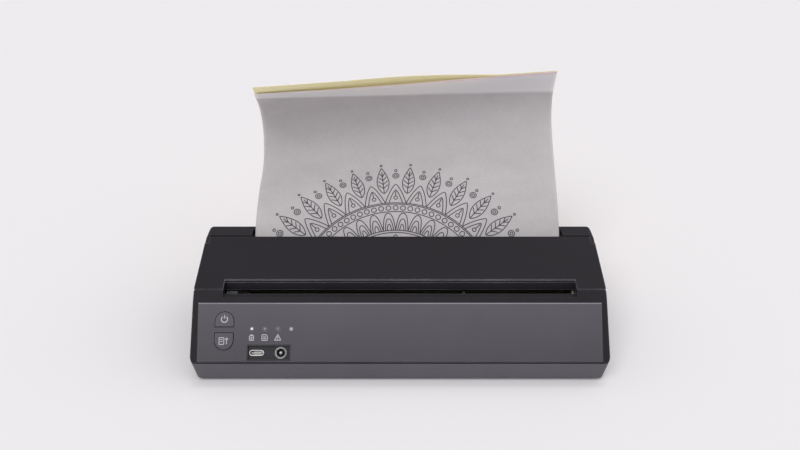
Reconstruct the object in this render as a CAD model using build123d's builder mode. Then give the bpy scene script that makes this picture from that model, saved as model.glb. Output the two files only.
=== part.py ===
from build123d import *
from math import acos, asin, atan2, cos, pi, radians, sin, tan
import os

# A desktop thermal stencil copier: a low wedge-shaped case with a sloping control panel, a top
# cover hinged at the rear, a roller that draws the sheet past a thermal head, and the sheet itself
# coming out at the top. X runs along the roller, to the right as seen from the front. Y runs to
# the rear and Z up. The origin is on the table, under the middle of the whole object.

# --- Case -------------------------------------------------------------------------------------
case_width = 265.0
case_depth = 96.0
foot_height = 1.2            # table to the underside of the case
foot_radius = 6.0
foot_inset = 20.0            # foot centre to the edge of the case, in x
foot_inset_y = 15.0
seam_height = 16.0           # table to the seam between the case halves
tuck_side = 2.5              # how far the lower case draws in towards its underside
tuck_front = 1.0
corner_radius = 7.0          # rear corners, in plan
front_corner_radius = 3.5
edge_break = 0.7             # chamfer along the case's and the cover's outer edges
bottom_radius = 2.0          # around the underside
groove_height = 0.8          # shadow groove at the top of the lower case
groove_depth = 1.0
wall = 2.2
floor_thickness = 2.0
panel_angle = 45.0           # slope of the front panel
panel_run = 38.6             # length of that slope
strip_angle = 39.0           # slope of the strip over the panel
strip_run = 7.8
beam_depth = 8.2             # the beam that carries the strip
beam_back = 2.2
beam_rise = 2.0              # its underside rises by this much to the rear
cover_angle = 11.8           # slope of the top cover
rear_bar_top = 41.2          # heights from here on are measured from the seam
rear_bar_depth = 5.8
rear_bar_thickness = 5.0     # at its front edge
rear_bar_root = 9.0          # and where it meets the rear wall
shoulder_thickness = 2.0     # frame beside the exit slot, between the cover and the rear bar
slot_room = 2.0              # sheet's edges to the ends of the exit slot
rear_edge_radius = 3.0

# --- Case screws ------------------------------------------------------------------------------
screw_inset = 10.5           # screw axis to the side of the case
screw_front_y = 13.0
screw_rear_inset = 14.0      # screw axis to the rear of the case
screw_radius = 1.45
screw_head_radius = 2.7
screw_head_height = 2.0
screw_reach = 5.5            # thread standing above the seam
boss_radius = 3.2
boss_rise = 6.6              # upper bosses, above the seam
lower_boss_radius = 4.0
rib_thickness = 2.0
screw_room = 0.3             # around a screw's head
screw_sink = 1.0             # how far the heads lie below the underside
fit = 0.05                   # radial clearance of a fixed fit
running_fit = 0.08           # radial clearance of a turning fit

# --- Front panel ------------------------------------------------------------------------------
panel_thickness = 2.0
panel_proud = 0.4            # how far its face stands out of the case
panel_edge = 0.35
web_thickness = 1.5          # what is left of the case behind the panel
panel_low = 0.6              # lower edge of the panel, up the slope from the seam
panel_high = 37.9
panel_margin_low = 4.7       # case side to panel, at the panel's lower and upper edge
panel_margin_high = 3.7
window_inset = 12.5          # case side to the hole in the web behind the controls
window_length = 60.0
window_low = 1.2
window_high = 36.0

# --- Controls ---------------------------------------------------------------------------------
keys_inset = 21.1            # case side to the middle of the keys
keys_width = 12.6
keys_low = 7.7
keys_high = 32.4
bar_low = 19.1               # fixed bar between the two keys
bar_high = 22.2
key_gap = 0.45
key_travel = 0.8
key_proud = 0.9
key_edge = 0.35
key_flange = 1.0
flange_thickness = 1.0
under_gap = 0.2              # free space under the panel, over a key's flange
first_lamp = 17.5            # middle of the keys to the first lamp
lamp_pitch = 8.3
lamp_count = 3
lamp_p = 21.3
lamp_radius = 1.4
reset_radius = 1.2
port_start = 14.6            # middle of the keys to the left end of the sockets' bay
port_length = 28.0
port_low = 1.0
port_high = 11.6
bezel_rim = 0.9
bezel_depth = 0.8            # panel plane to the floor of the bay
bezel_back = 0.8             # how far the bezel reaches behind the panel
bezel_proud = 0.2
usb_along = 6.4              # left end of the bay to the middle of each socket
jack_along = 21.6
usb_width = 8.94
usb_height = 3.26
usb_shell = 0.3
tongue_width = 6.6
tongue_thickness = 0.7
jack_radius = 4.0
jack_bore = 3.1
jack_pin = 1.0
board_thickness = 1.4
board_depth = 6.6            # panel surface to the face of the control board
switch_side = 5.0
switch_clearance = 0.5       # left between a pressed key and its switch
post_radius = 1.6
post_start = 10.2            # middle of the keys to the left posts
post_spacing = 37.2
post_low = 5.0
post_high = 28.5
board_low = 2.4
board_high = 32.2
small_screw = 0.9
small_head_radius = 1.8
small_head_height = 0.8
board_margin = 1.5           # hole in the web to the control board, in x
board_screw_reach = 3.5      # thread in a post
led_side = 1.6
led_height = 0.8
led_gap = 0.2                # between a lamp and its light guide
plunger_radius = 1.2
plunger_height = 0.6
socket_proud = 0.4           # how far the sockets stand out of the bay's floor
tongue_back = 0.5
jack_floor = 1.0

# --- Paper path -------------------------------------------------------------------------------
roller_gap = 4.2             # cover's lip to the roller
platen_z = 24.2
platen_radius = 8.0
shaft_radius = 3.0
shaft_end = 3.0              # shaft beyond the left plate
clip_thickness = 0.8
clip_width = 1.5
clip_gap = 0.3
bush_radius = 5.0
bush_flange = 1.2
bush_flange_radius = 6.2
bush_proud = 1.0             # how far a bush stands out of its plate
slot_ahead = 5.69            # middle of the exit slot in front of the rear bar
slot_drop = 2.27             # and under its top
nip_gap = 0.3
guide_back = 0.5             # backing sheet to the exit guide
guide_sheet = 1.5            # thickness of the exit guide
guide_low = 2.0              # heat sink to the guide's lower end
guide_exit = 0.6             # the guide's bend, before the exit
guide_fall = 2.6             # top of the rear bar to the guide's rear end
guide_rear_thickness = 1.8
sheet_inset_left = 13.5      # chassis plates to the sheet's side edges, which makes it 210 wide
sheet_inset_right = 3.5
sheet_thickness = 0.2
sheet_spacing = 0.5          # between the printed sheet and the backing sheet behind it
rubber_inset_left = 11.5     # chassis plates to the roller's rubber
rubber_inset_right = 2.0

# --- Chassis ----------------------------------------------------------------------------------
plate_inset = 19.0           # case side to the inner face of a chassis plate
plate_thickness = 1.2
plate_over = 6.4             # plate's top edge over the roller axis, and its reach in front of it
plate_step = (9.4, 0.2)      # corners of its front edge, ahead of the roller axis and below it
plate_knee = (13.4, 3.7)
plate_toe = 2.0              # motor axis down to the front corner
plate_heel = 5.0             # roller axis down to the rear corner
plate_rim = 3.5              # metal around the head's pivot
tray_height = 5.2            # table to the underside of the chassis tray
tray_front = 20.0
tray_rear_inset = 8.0
mouth_inset = 18.8           # case side to the end of the feed mouth
column_inset = 23.5          # chassis plates to the tray's columns
column_radius = 4.0
column_front = 6.0
column_rear = 4.0

# --- Gears ------------------------------------------------------------------------------------
gear_module = 0.6
pinion_teeth = 12
idler_teeth = 38
platen_teeth = 24
gear_width = 4.0
gear_gap = 1.2               # chassis plate to gears
backlash = 0.22
idler_pin_radius = 1.5
pin_collar = 1.2
pin_gap = 0.4
pin_head = 1.0
motor_ahead = 23.4           # motor axis in front of the roller axis
motor_z = 6.0
motor_radius = 12.5
motor_length = 18.0
motor_shaft_radius = 1.0
motor_screw_circle = 8.7
motor_screw_turns = (187, 280)
motor_screw_reach = 2.0
motor_screw_hole = 2.5
motor_boss_hole = 3.0        # hole in the plate around the motor's shaft
shaft_stub = 0.5             # motor shaft beyond the motor's rear face
shaft_nose = 0.6             # and beyond the pinion

# --- Thermal head -----------------------------------------------------------------------------
head_inset_left = 10.5       # chassis plates to the head
head_inset_right = 1.5
head_plate = 1.0
sink_thickness = 4.0
fin_height = 3.0
fin_width = 1.2
fin_count = 4
head_low = -8.0              # along the exit line from the nip
head_high = 9.0
sink_high = 16.0
pivot_along = 13.0
pivot_pin_radius = 1.5
pivot_reach = 4.0            # how far the pivot pins reach into the heat sink
head_swing_room = 1.4
spring_radius = 2.6
spring_wire = 0.6
spring_seat = 13.0           # exit line to the face of the spring bar
spring_pitch = 64.5
spring_count = 3
spring_bar_width = 9.0
spring_bar_thickness = 1.5
pivot_bore_room = 0.4

# --- Cover ------------------------------------------------------------------------------------
hinge_inset = 16.45          # hinge axis to the rear of the case
hinge_barrel = 2.7
hinge_pin_radius = 1.0
hinge_pin_reach = 6.0
hinge_pin_recess = 0.3       # pin end below the side of the case
barrel_web = 2.0             # the cover's plate ends this far before the hinge axis
cover_thickness = 2.2
cover_gap = 0.4
skirt_depth = 5.0
skirt_gap = 5.55             # the cover's side skirts stop this far short of the hinge axis
lip_back = 8.24              # the cover's front edge over the feed mouth, behind the strip
lip_drop = 8.4
lip_thickness = 2.0
lip_edge_break = 0.5
lip_slant = 0.6              # its foot stands this much further back
skirt_front = 2.0            # the skirts' lower front corner, behind the cover's front
skirt_rear = 4.0             # and their lower rear corner, in front of their end
end_web = 3.0                # thickness of the cover's front ends
mouth_floor_run = 2.0        # the strip's depth in front of the mouth
mouth_depth = 2.6
mouth_step = 2.4             # the strip's drop at the front of the mouth

# --- Insides on the tray ----------------------------------------------------------------------
cell_radius = 9.25
cell_length = 65.0
cell_ahead = 20.4            # cell axis in front of the roller axis
cell_inset = 7.5             # left chassis plate to the first cell
cell_gap = 2.0
holder_wall = 1.5
main_board_inset = 18.5      # left chassis plate to the main board
main_board_length = 155.0
main_board_gap = 3.25        # battery holder to the main board
main_board_rear_inset = 11.0
chip_height = 1.4
chip_sizes = ((12.0, 12.0), (8.0, 6.0), (8.0, 6.0), (8.0, 8.0))
chip_first = 45.0            # left end of the main board to the first chip
chip_pitch = 30.0
chip_back = 11.0             # rear edge of the main board to the chips
flex_width = 60.0
standoff = 3.0
standoff_radius = 2.0
standoff_inset = 8.0         # twice the distance of the standoffs from the board's edges
flex_socket_width = 3.0
flex_thickness = 0.3
flex_bend = 2.0
flex_gap = 0.8               # between the flat cable's end and the head

# --- Feed guide and sensor --------------------------------------------------------------------
table_thickness = 1.5
table_start = (1.4, 24.6)    # top face of the feed table: behind the beam, and height over the seam
table_end = (-9.4, -7.8)     # and its lower end, from the roller axis
guide_width = 6.0
guide_height = 2.6
guide_travel = 10.0
flag_right = 71.5            # right chassis plate to the sensor's flag
flag_width = 1.6
flag_share = 0.55            # how far down the table the sensor's flag stands
flag_depth = 5.0             # table to the flag's pivot
flag_rise = 2.6
flag_pin = 0.8
flag_hub = 1.0               # wall around the flag's pin
flag_gap = 0.3
sensor_cheek = 1.2
sensor_foot = 3.0            # half width of the sensor's holder at the table, and lower down
sensor_waist = 2.4
sensor_floor = 1.6
slit_front = 3.0             # the slit in the table, before and behind the flag
slit_rear = 5.0
guide_front = 1.0            # the side guide along the table
guide_rear = 12.0
guide_groove = (6.0, 8.0)
guide_lift = 0.3             # guide over the table
guide_play = 0.4             # retainer under the table
guide_neck = (6.3, 7.7)
guide_retainer = (5.0, 9.0)
retainer_thickness = 1.0
guide_start = 1.5            # left chassis plate to the guide at rest
clear = 5.0                  # how far a cutting shape reaches past what it cuts

# --- The sheet beyond the exit: (y, z) from the exit point, for its left and right edge ---------
sheet_tail = 4.0             # how far the sheet reaches back past the nip
printed_extra = 0.5          # straight end of the printed sheet at the left
left_curl = ((16.0, 12.0), (39.0, 20.5), (60.0, 29.0), (68.5, 46.0), (62.5, 68.0), (48.5, 83.0))
right_curl = ((14.0, 13.4), (34.0, 27.5), (54.0, 41.5), (70.0, 56.0), (75.5, 72.0), (69.0, 90.5))
curl_end = 3.2               # straight end of both sheets at the right
backing_extra = 7.8          # and of the backing sheet at the left, where it stands out behind
backing_fan = 2.6            # how far its left end bends away from the printed sheet

# --- Worked out from the above ----------------------------------------------------------------
half_width = case_width / 2
inside = half_width - wall
screw_x, screw_rear_y = half_width - screw_inset, case_depth - screw_rear_inset
panel_half_low, panel_half_high = half_width - panel_margin_low, half_width - panel_margin_high
window_left = -half_width + window_inset
window_right = window_left + window_length
keys_x = -half_width + keys_inset
lamp_places = [keys_x + first_lamp + index * lamp_pitch for index in range(lamp_count)]
reset_x = lamp_places[-1] + lamp_pitch
port_left = keys_x + port_start
port_right = port_left + port_length
usb_x, jack_x = port_left + usb_along, port_left + jack_along
post_left = keys_x + post_start
post_right = post_left + post_spacing
plate_inside = half_width - plate_inset
mouth_half = half_width - mouth_inset
sheet_left, sheet_right = -plate_inside + sheet_inset_left, plate_inside - sheet_inset_right
rubber_left, rubber_right = -plate_inside + rubber_inset_left, plate_inside - rubber_inset_right
head_left, head_right = -plate_inside + head_inset_left, plate_inside - head_inset_right
spring_places = [(head_left + head_right) / 2 + (index - (spring_count - 1) / 2) * spring_pitch
                 for index in range(spring_count)]
strip_start = (panel_run * cos(radians(panel_angle)), panel_run * sin(radians(panel_angle)))
strip_end = (strip_start[0] + strip_run * cos(radians(strip_angle)),
             strip_start[1] + strip_run * sin(radians(strip_angle)))
rear_bar_front = case_depth - rear_bar_depth
tray_rear = case_depth - tray_rear_inset
hinge_y = case_depth - hinge_inset
skirt_end = hinge_y - skirt_gap
lip_y = strip_end[0] + lip_back
platen_y = lip_y + lip_thickness + lip_slant + roller_gap + platen_radius
motor_y = platen_y - motor_ahead
cell_y, cell_left = platen_y - cell_ahead, -plate_inside + cell_inset
main_board_left = -plate_inside + main_board_inset
main_board_right = main_board_left + main_board_length
main_board_rear = case_depth - main_board_rear_inset
main_board_front = cell_y + cell_radius + holder_wall + main_board_gap
flag_x = plate_inside - flag_right
floor_top = foot_height + floor_thickness
mouth_floor_y = strip_start[0] + mouth_floor_run
nip_offset = platen_radius + nip_gap + sheet_thickness / 2
# The exit line touches the roller's nip and runs to the middle of the exit slot.
slot = (rear_bar_front - slot_ahead, rear_bar_top - slot_drop)
slot_distance = ((slot[0] - platen_y) ** 2 + (slot[1] - platen_z) ** 2) ** 0.5
exit_turn = atan2(slot[1] - platen_z, slot[0] - platen_y) + asin(nip_offset / slot_distance)
exit_run = (slot_distance ** 2 - nip_offset ** 2) ** 0.5
along_y, along_z = cos(exit_turn), sin(exit_turn)
back_face = -(1.5 * sheet_thickness + sheet_spacing)      # rear face of the backing sheet
head_face = back_face - nip_gap


def cover_top(y):
    """Height over the seam of the cover's top face at a distance y from the front."""
    return strip_end[1] + (y - strip_end[0]) * tan(radians(cover_angle))


hinge_z = cover_top(hinge_y) - hinge_barrel / cos(radians(cover_angle))


def on_path(along, across):
    """A point beside the exit line: `along` it from the nip, and `across` it to the roller."""
    return (platen_y + nip_offset * along_z + along * along_y - across * along_z,
            platen_z - nip_offset * along_y + along * along_z + across * along_y)


def edge_points(curl, across, fan=0.0):
    """One edge of a sheet outside the case, as points moved square to the curl by `across`, and
    towards its end by up to `fan` more to the rear."""
    exit_point = on_path(exit_run, 0)
    middle = [exit_point] + [(exit_point[0] + y, exit_point[1] + z) for y, z in curl]
    points = []
    for index, (y, z) in enumerate(middle):
        before, after = middle[max(index - 1, 0)], middle[min(index + 1, len(middle) - 1)]
        turn = atan2(after[1] - before[1], after[0] - before[0])
        if index == 0:
            turn = exit_turn
        off = across - fan * (index / len(curl)) ** 2
        points.append((y - off * sin(turn), z + off * cos(turn)))
    return points


# The origin stands under the middle of the object, from the case's front to the curl's rearmost point.
with BuildLine() as rear_curl:
    Spline(*edge_points(right_curl, back_face), tangents=((along_y, along_z), (-0.35, 1.0)))
front_y = -rear_curl.line.bounding_box().max.X / 2


def side(x):
    """The plane across the case at x, drawn in distance from the front and height over the seam."""
    return Plane(origin=(x, front_y, seam_height), x_dir=(0, 1, 0), z_dir=(1, 0, 0))


def level(height):
    """The level plane at a height over the table, drawn in x and distance from the front."""
    return Plane(origin=(0, front_y, height), x_dir=(1, 0, 0), z_dir=(0, 0, 1))


def slope(depth):
    """The plane of the front panel, `depth` behind its face, drawn in x and up the slope."""
    lean = radians(panel_angle)
    return Plane(origin=(0, front_y + depth * sin(lean), seam_height - depth * cos(lean)),
                 x_dir=(1, 0, 0), z_dir=(0, -sin(lean), cos(lean)))


def case_plan(height, inset_side, inset_front, tighter=0):
    """The case's outline from above, drawn in at the sides and at both ends, its corners tightened."""
    with BuildSketch(level(height)) as plan:
        with Locations((0, case_depth / 2)):
            Rectangle(case_width - 2 * inset_side, case_depth - 2 * inset_front)
        fillet(plan.vertices().group_by(Axis.Y)[0], front_corner_radius - tighter)
        fillet(plan.vertices().group_by(Axis.Y)[-1], corner_radius - tighter)
    return plan.sketch.face()


def save(part, name):
    part.label = name
    export_step(part, "parts/" + name + ".step")


os.makedirs("parts", exist_ok=True)
screw_places = [(x, y) for x in (-screw_x, screw_x) for y in (screw_front_y, screw_rear_y)]
foot_x, foot_y = half_width - foot_inset, foot_inset_y
foot_places = [(x, y) for x in (-foot_x, foot_x) for y in (foot_y, case_depth - foot_y)]

# === Casings ==================================================================================
# Lower case: a shallow tray whose walls draw in towards its underside, with four screw bosses.
head_seat = foot_height + screw_head_height + screw_sink
with BuildPart() as lower_case:
    loft([case_plan(seam_height, 0, 0), case_plan(foot_height, tuck_side, tuck_front)])
    fillet(lower_case.faces().sort_by(Axis.Z)[0].edges(), bottom_radius)
    loft([case_plan(seam_height, wall, wall, wall),
          case_plan(floor_top, wall + tuck_side, wall + tuck_front, wall)], mode=Mode.SUBTRACT)
    extrude(case_plan(seam_height, -groove_depth, -groove_depth), amount=-groove_height, mode=Mode.SUBTRACT)
    extrude(case_plan(seam_height, groove_depth, groove_depth), amount=-groove_height)
    extrude(case_plan(seam_height, wall, wall, wall), amount=-groove_height, mode=Mode.SUBTRACT)
    with BuildSketch(level(foot_height)):
        with Locations(*screw_places):
            Circle(lower_boss_radius)
    extrude(amount=seam_height - foot_height)
    with BuildSketch(level(foot_height)):
        with Locations(*screw_places):
            Circle(screw_head_radius + screw_room)
    extrude(amount=head_seat - foot_height, mode=Mode.SUBTRACT)
    with BuildSketch(level(foot_height)):
        with Locations(*screw_places):
            Circle(screw_radius + fit)
    extrude(amount=seam_height - foot_height, mode=Mode.SUBTRACT)
save(lower_case.part, "lower_case")

with BuildPart() as case_screws:
    with BuildSketch(level(head_seat)):
        with Locations(*screw_places):
            Circle(screw_head_radius)
    extrude(amount=-screw_head_height)
    with BuildSketch(level(head_seat)):
        with Locations(*screw_places):
            Circle(screw_radius)
    extrude(amount=seam_height + screw_reach - head_seat)
save(case_screws.part, "case_screws")

with BuildPart() as rubber_feet:
    with BuildSketch(level(0)):
        with Locations(*foot_places):
            Circle(foot_radius)
    extrude(amount=foot_height)
    chamfer(rubber_feet.faces().group_by(Axis.Z)[0].edges(), foot_height / 3)
save(rubber_feet.part, "rubber_feet")

# Upper frame: side walls, the web behind the panel, the strip over it and the bar at the rear.
# It is open below and under the cover, and its side walls rise at the rear to hold the hinge pins.
inner_wall = (panel_thickness + web_thickness) / sin(radians(panel_angle))
beam_y = strip_end[0] + beam_back
above = 1.5 * rear_bar_top        # higher than anything on the case
skirt_line = skirt_depth + cover_gap
with BuildPart() as upper_frame:
    with BuildSketch(side(-half_width)):
        Polygon((0, 0), strip_start, strip_end, (skirt_end, cover_top(skirt_end)),
                (hinge_y, cover_top(hinge_y)), (rear_bar_front, rear_bar_top),
                (case_depth, rear_bar_top), (case_depth, 0), align=None)
    extrude(amount=case_width)
    rear_edge = upper_frame.edges().filter_by(Axis.X).group_by(Axis.Y)[-1].sort_by(Axis.Z)[-1]
    fillet(rear_edge, rear_edge_radius)
    for end in (0, -1):
        outline = upper_frame.faces().filter_by(Axis.X).sort_by(Axis.X)[end].edges()
        chamfer(outline.sort_by(Axis.Z)[1:], edge_break)
    extrude(case_plan(seam_height, 0, 0), amount=seam_height + above, mode=Mode.INTERSECT)
    with BuildSketch(side(-inside)):
        Polygon((inner_wall, 0), (inner_wall + strip_start[1] - beam_depth, strip_start[1] - beam_depth),
                (beam_y, strip_start[1] - beam_depth + beam_rise), (beam_y, above), (rear_bar_front, above),
                (rear_bar_front, rear_bar_top - rear_bar_thickness),
                (case_depth - wall, rear_bar_top - rear_bar_root),
                (case_depth - wall, 0), align=None)
    extrude(amount=2 * inside, mode=Mode.SUBTRACT)
    # Room for the cover, over the whole width in front of the hinge.
    with BuildSketch(side(-half_width)):
        Polygon((strip_end[0], above), (strip_end[0], cover_top(strip_end[0]) - skirt_line),
                (skirt_end + cover_gap, cover_top(skirt_end) - skirt_line),
                (skirt_end + cover_gap, above), align=None)
    extrude(amount=case_width, mode=Mode.SUBTRACT)
    # The feed mouth: the strip breaks down into the case.
    with BuildSketch(side(-mouth_half)):
        Polygon((mouth_floor_y, above), (mouth_floor_y, cover_top(mouth_floor_y) - mouth_step),
                (beam_y, cover_top(mouth_floor_y) - mouth_depth), (beam_y, above), align=None)
    extrude(amount=2 * mouth_half, mode=Mode.SUBTRACT)
    # The pocket that the panel lies in, and the window behind its controls.
    with BuildSketch(slope(panel_thickness)):
        Polygon((-panel_half_low, panel_low), (panel_half_low, panel_low),
                (panel_half_high, panel_high), (-panel_half_high, panel_high), align=None)
    extrude(amount=panel_thickness + clear, mode=Mode.SUBTRACT)
    with BuildSketch(slope(panel_thickness + web_thickness + clear)):
        Polygon((window_left, window_low), (window_right, window_low),
                (window_right, window_high), (window_left, window_high), align=None)
    extrude(amount=web_thickness + 2 * clear, mode=Mode.SUBTRACT)
    # Shoulders from the side walls close the exit slot down to the sheet's width.
    shoulder_front = hinge_y + hinge_barrel + cover_gap
    for start, end in ((-inside, sheet_left - slot_room), (sheet_right + slot_room, inside)):
        with BuildSketch(side(start)):
            Polygon((shoulder_front, rear_bar_top), (rear_bar_front, rear_bar_top),
                    (rear_bar_front, rear_bar_top - shoulder_thickness),
                    (shoulder_front, rear_bar_top - shoulder_thickness), align=None)
        extrude(amount=end - start)
    # Screw bosses, each on a rib from the side wall.
    with BuildSketch(level(seam_height)):
        with Locations(*screw_places):
            Circle(boss_radius)
        with Locations(*[((half_width - wall / 2 + screw_x) / 2 * (1 if x > 0 else -1), y)
                         for x, y in screw_places]):
            Rectangle(half_width - wall / 2 - screw_x, rib_thickness)
    extrude(amount=boss_rise)
    with BuildSketch(level(seam_height)):
        with Locations(*screw_places):
            Circle(screw_radius + fit)
    extrude(amount=screw_reach + screw_room, mode=Mode.SUBTRACT)
    # Bore the side walls for the hinge pins.
    with BuildSketch(side(-half_width)):
        with Locations((hinge_y, hinge_z)):
            Circle(hinge_pin_radius + fit)
    extrude(amount=case_width, mode=Mode.SUBTRACT)
save(upper_frame.part, "upper_frame")

# === Front panel and its controls =============================================================
# Each is drawn in the plane of the panel: x along it, and p up the slope from the seam.
keys_middle = (keys_low + keys_high) / 2
keys_length = keys_high - keys_low
post_places = [(x, p) for x in (post_left, post_right) for p in (post_low, post_high)]
port_centre = ((port_left + port_right) / 2, (port_low + port_high) / 2)
port_size = (port_right - port_left, port_high - port_low)
with BuildPart() as front_panel:
    with BuildSketch(slope(panel_thickness)):
        Polygon((-panel_half_low + fit, panel_low + fit), (panel_half_low - fit, panel_low + fit),
                (panel_half_high - fit, panel_high - fit), (-panel_half_high + fit, panel_high - fit),
                align=None)
    extrude(amount=panel_thickness + panel_proud)
    face_out = Axis((0, 0, 0), slope(0).z_dir)
    chamfer(front_panel.faces().sort_by(face_out)[-1].edges(), panel_edge)
    split(bisect_by=level(seam_height + fit), keep=Keep.TOP)
    with BuildSketch(slope(panel_thickness)):
        with Locations((keys_x, keys_middle)):
            SlotOverall(keys_length, keys_width, rotation=90)
        with Locations((keys_x, (bar_low + bar_high) / 2)):
            Rectangle(keys_width, bar_high - bar_low, mode=Mode.SUBTRACT)
        with Locations(port_centre):
            Rectangle(*port_size)
        with Locations(*[(x, lamp_p) for x in lamp_places]):
            Circle(lamp_radius + fit)
        with Locations((reset_x, lamp_p)):
            Circle(reset_radius + 0.2)
    extrude(amount=panel_thickness + panel_proud, mode=Mode.SUBTRACT)
    with BuildSketch(slope(board_depth)):
        with Locations(*post_places):
            Circle(post_radius)
    extrude(amount=board_depth - panel_thickness)
    with BuildSketch(slope(board_depth)):
        with Locations(*post_places):
            Circle(small_screw + fit)
    extrude(amount=board_depth - panel_thickness, mode=Mode.SUBTRACT)
save(front_panel.part, "front_panel")


def add_key(low, high, name):
    """One half of the capsule-shaped key pair, with the flange that keeps it under the panel."""
    with BuildPart() as key:
        flange_top = panel_thickness + under_gap
        with BuildSketch(slope(flange_top)):
            with Locations((keys_x, keys_middle)):
                SlotOverall(keys_length - 2 * key_gap, keys_width - 2 * key_gap, rotation=90)
            with Locations((keys_x, (low + high) / 2)):
                Rectangle(keys_width, high - low - 2 * key_gap, mode=Mode.INTERSECT)
        extrude(amount=flange_top + key_proud)
        fillet(key.faces().sort_by(face_out)[-1].edges(), key_edge)
        with BuildSketch(slope(flange_top)):
            with Locations((keys_x, keys_middle)):
                SlotOverall(keys_length + 2 * key_flange, keys_width + 2 * key_flange, rotation=90)
            with Locations((keys_x, (low + high) / 2)):
                Rectangle(2 * keys_width, high - low + 2 * key_flange, mode=Mode.INTERSECT)
        extrude(amount=-flange_thickness)
    save(key.part, name)


add_key(bar_high, keys_high + key_gap, "power_button")
add_key(keys_low - key_gap, bar_low, "feed_button")

switch_top = panel_thickness + under_gap + flange_thickness + key_travel + switch_clearance
with BuildPart() as reset_button:
    with BuildSketch(slope(switch_top - key_travel - switch_clearance)):
        with Locations((reset_x, lamp_p)):
            Circle(reset_radius)
    extrude(amount=switch_top - key_travel - switch_clearance)
    with BuildSketch(slope(panel_thickness + under_gap)):
        with Locations((reset_x, lamp_p)):
            Circle(reset_radius + key_flange)
    extrude(amount=-flange_thickness)
save(reset_button.part, "reset_button")

with BuildPart() as light_pipes:
    with BuildSketch(slope(board_depth - led_height - led_gap)):
        with Locations(*[(x, lamp_p) for x in lamp_places]):
            Circle(lamp_radius)
    extrude(amount=board_depth - led_height - led_gap + panel_proud)
save(light_pipes.part, "light_pipes")

with BuildPart() as control_board:
    with BuildSketch(slope(board_depth)):
        Polygon((window_left + board_margin, board_low), (window_right - board_margin, board_low),
                (window_right - board_margin, board_high), (window_left + board_margin, board_high),
                align=None)
        with Locations(*post_places):
            Circle(small_screw + fit, mode=Mode.SUBTRACT)
    extrude(amount=-board_thickness)
save(control_board.part, "control_board")

with BuildPart() as board_screws:
    with BuildSketch(slope(board_depth + board_thickness)):
        with Locations(*post_places):
            Circle(small_head_radius)
    extrude(amount=-small_head_height)
    with BuildSketch(slope(board_depth + board_thickness)):
        with Locations(*post_places):
            Circle(small_screw)
    extrude(amount=board_thickness + board_screw_reach)
save(board_screws.part, "board_screws")

switch_places = [(keys_x, (bar_high + keys_high) / 2), (keys_x, (keys_low + bar_low) / 2),
                 (reset_x, lamp_p)]
with BuildPart() as tact_switches:
    with BuildSketch(slope(board_depth)):
        with Locations(*switch_places):
            Rectangle(switch_side, switch_side)
    extrude(amount=board_depth - switch_top - plunger_height)
    with BuildSketch(slope(switch_top + plunger_height)):
        with Locations(*switch_places):
            Circle(plunger_radius)
    extrude(amount=plunger_height)
save(tact_switches.part, "tact_switches")

with BuildPart() as status_leds:
    with BuildSketch(slope(board_depth)):
        with Locations(*[(x, lamp_p) for x in lamp_places]):
            Rectangle(led_side, led_side)
    extrude(amount=led_height)
save(status_leds.part, "status_leds")

# Sockets: a recessed bezel with a flat socket on the left and a round power socket on the right.
port_p = port_centre[1]
with BuildPart() as port_bezel:
    with BuildSketch(slope(panel_thickness + bezel_back)):
        with Locations(port_centre):
            Rectangle(port_size[0] - 2 * fit, port_size[1] - 2 * fit)
    extrude(amount=panel_thickness + bezel_back + panel_proud + bezel_proud)
    with BuildSketch(slope(bezel_depth)):
        with Locations(port_centre):
            Rectangle(port_size[0] - 2 * bezel_rim, port_size[1] - 2 * bezel_rim)
    extrude(amount=bezel_depth + clear, mode=Mode.SUBTRACT)
    with BuildSketch(slope(panel_thickness + bezel_back)):
        with Locations((usb_x, port_p)):
            SlotOverall(usb_width + 2 * fit, usb_height + 2 * fit)
        with Locations((jack_x, port_p)):
            Circle(jack_radius + fit)
    extrude(amount=panel_thickness + clear, mode=Mode.SUBTRACT)
    split(bisect_by=level(seam_height + fit), keep=Keep.TOP)
save(port_bezel.part, "port_bezel")

with BuildPart() as usb_port:
    with BuildSketch(slope(board_depth)):
        with Locations((usb_x, port_p)):
            SlotOverall(usb_width, usb_height)
            SlotOverall(usb_width - 2 * usb_shell, usb_height - 2 * usb_shell, mode=Mode.SUBTRACT)
    extrude(amount=board_depth - bezel_depth + socket_proud)
    with BuildSketch(slope(board_depth)):
        with Locations((usb_x, port_p)):
            SlotOverall(usb_width, usb_height)
    extrude(amount=usb_shell)
save(usb_port.part, "usb_port")

with BuildPart() as usb_tongue:
    with BuildSketch(slope(board_depth - usb_shell)):
        with Locations((usb_x, port_p)):
            Rectangle(tongue_width, tongue_thickness)
    extrude(amount=board_depth - usb_shell - bezel_depth - tongue_back)
save(usb_tongue.part, "usb_tongue")

with BuildPart() as power_jack:
    with BuildSketch(slope(board_depth)):
        with Locations((jack_x, port_p)):
            Circle(jack_radius)
    extrude(amount=board_depth - bezel_depth + socket_proud)
    with BuildSketch(slope(board_depth - jack_floor)):
        with Locations((jack_x, port_p)):
            Circle(jack_bore)
            Circle(jack_pin, mode=Mode.SUBTRACT)
    extrude(amount=board_depth, mode=Mode.SUBTRACT)
save(power_jack.part, "power_jack")

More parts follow.
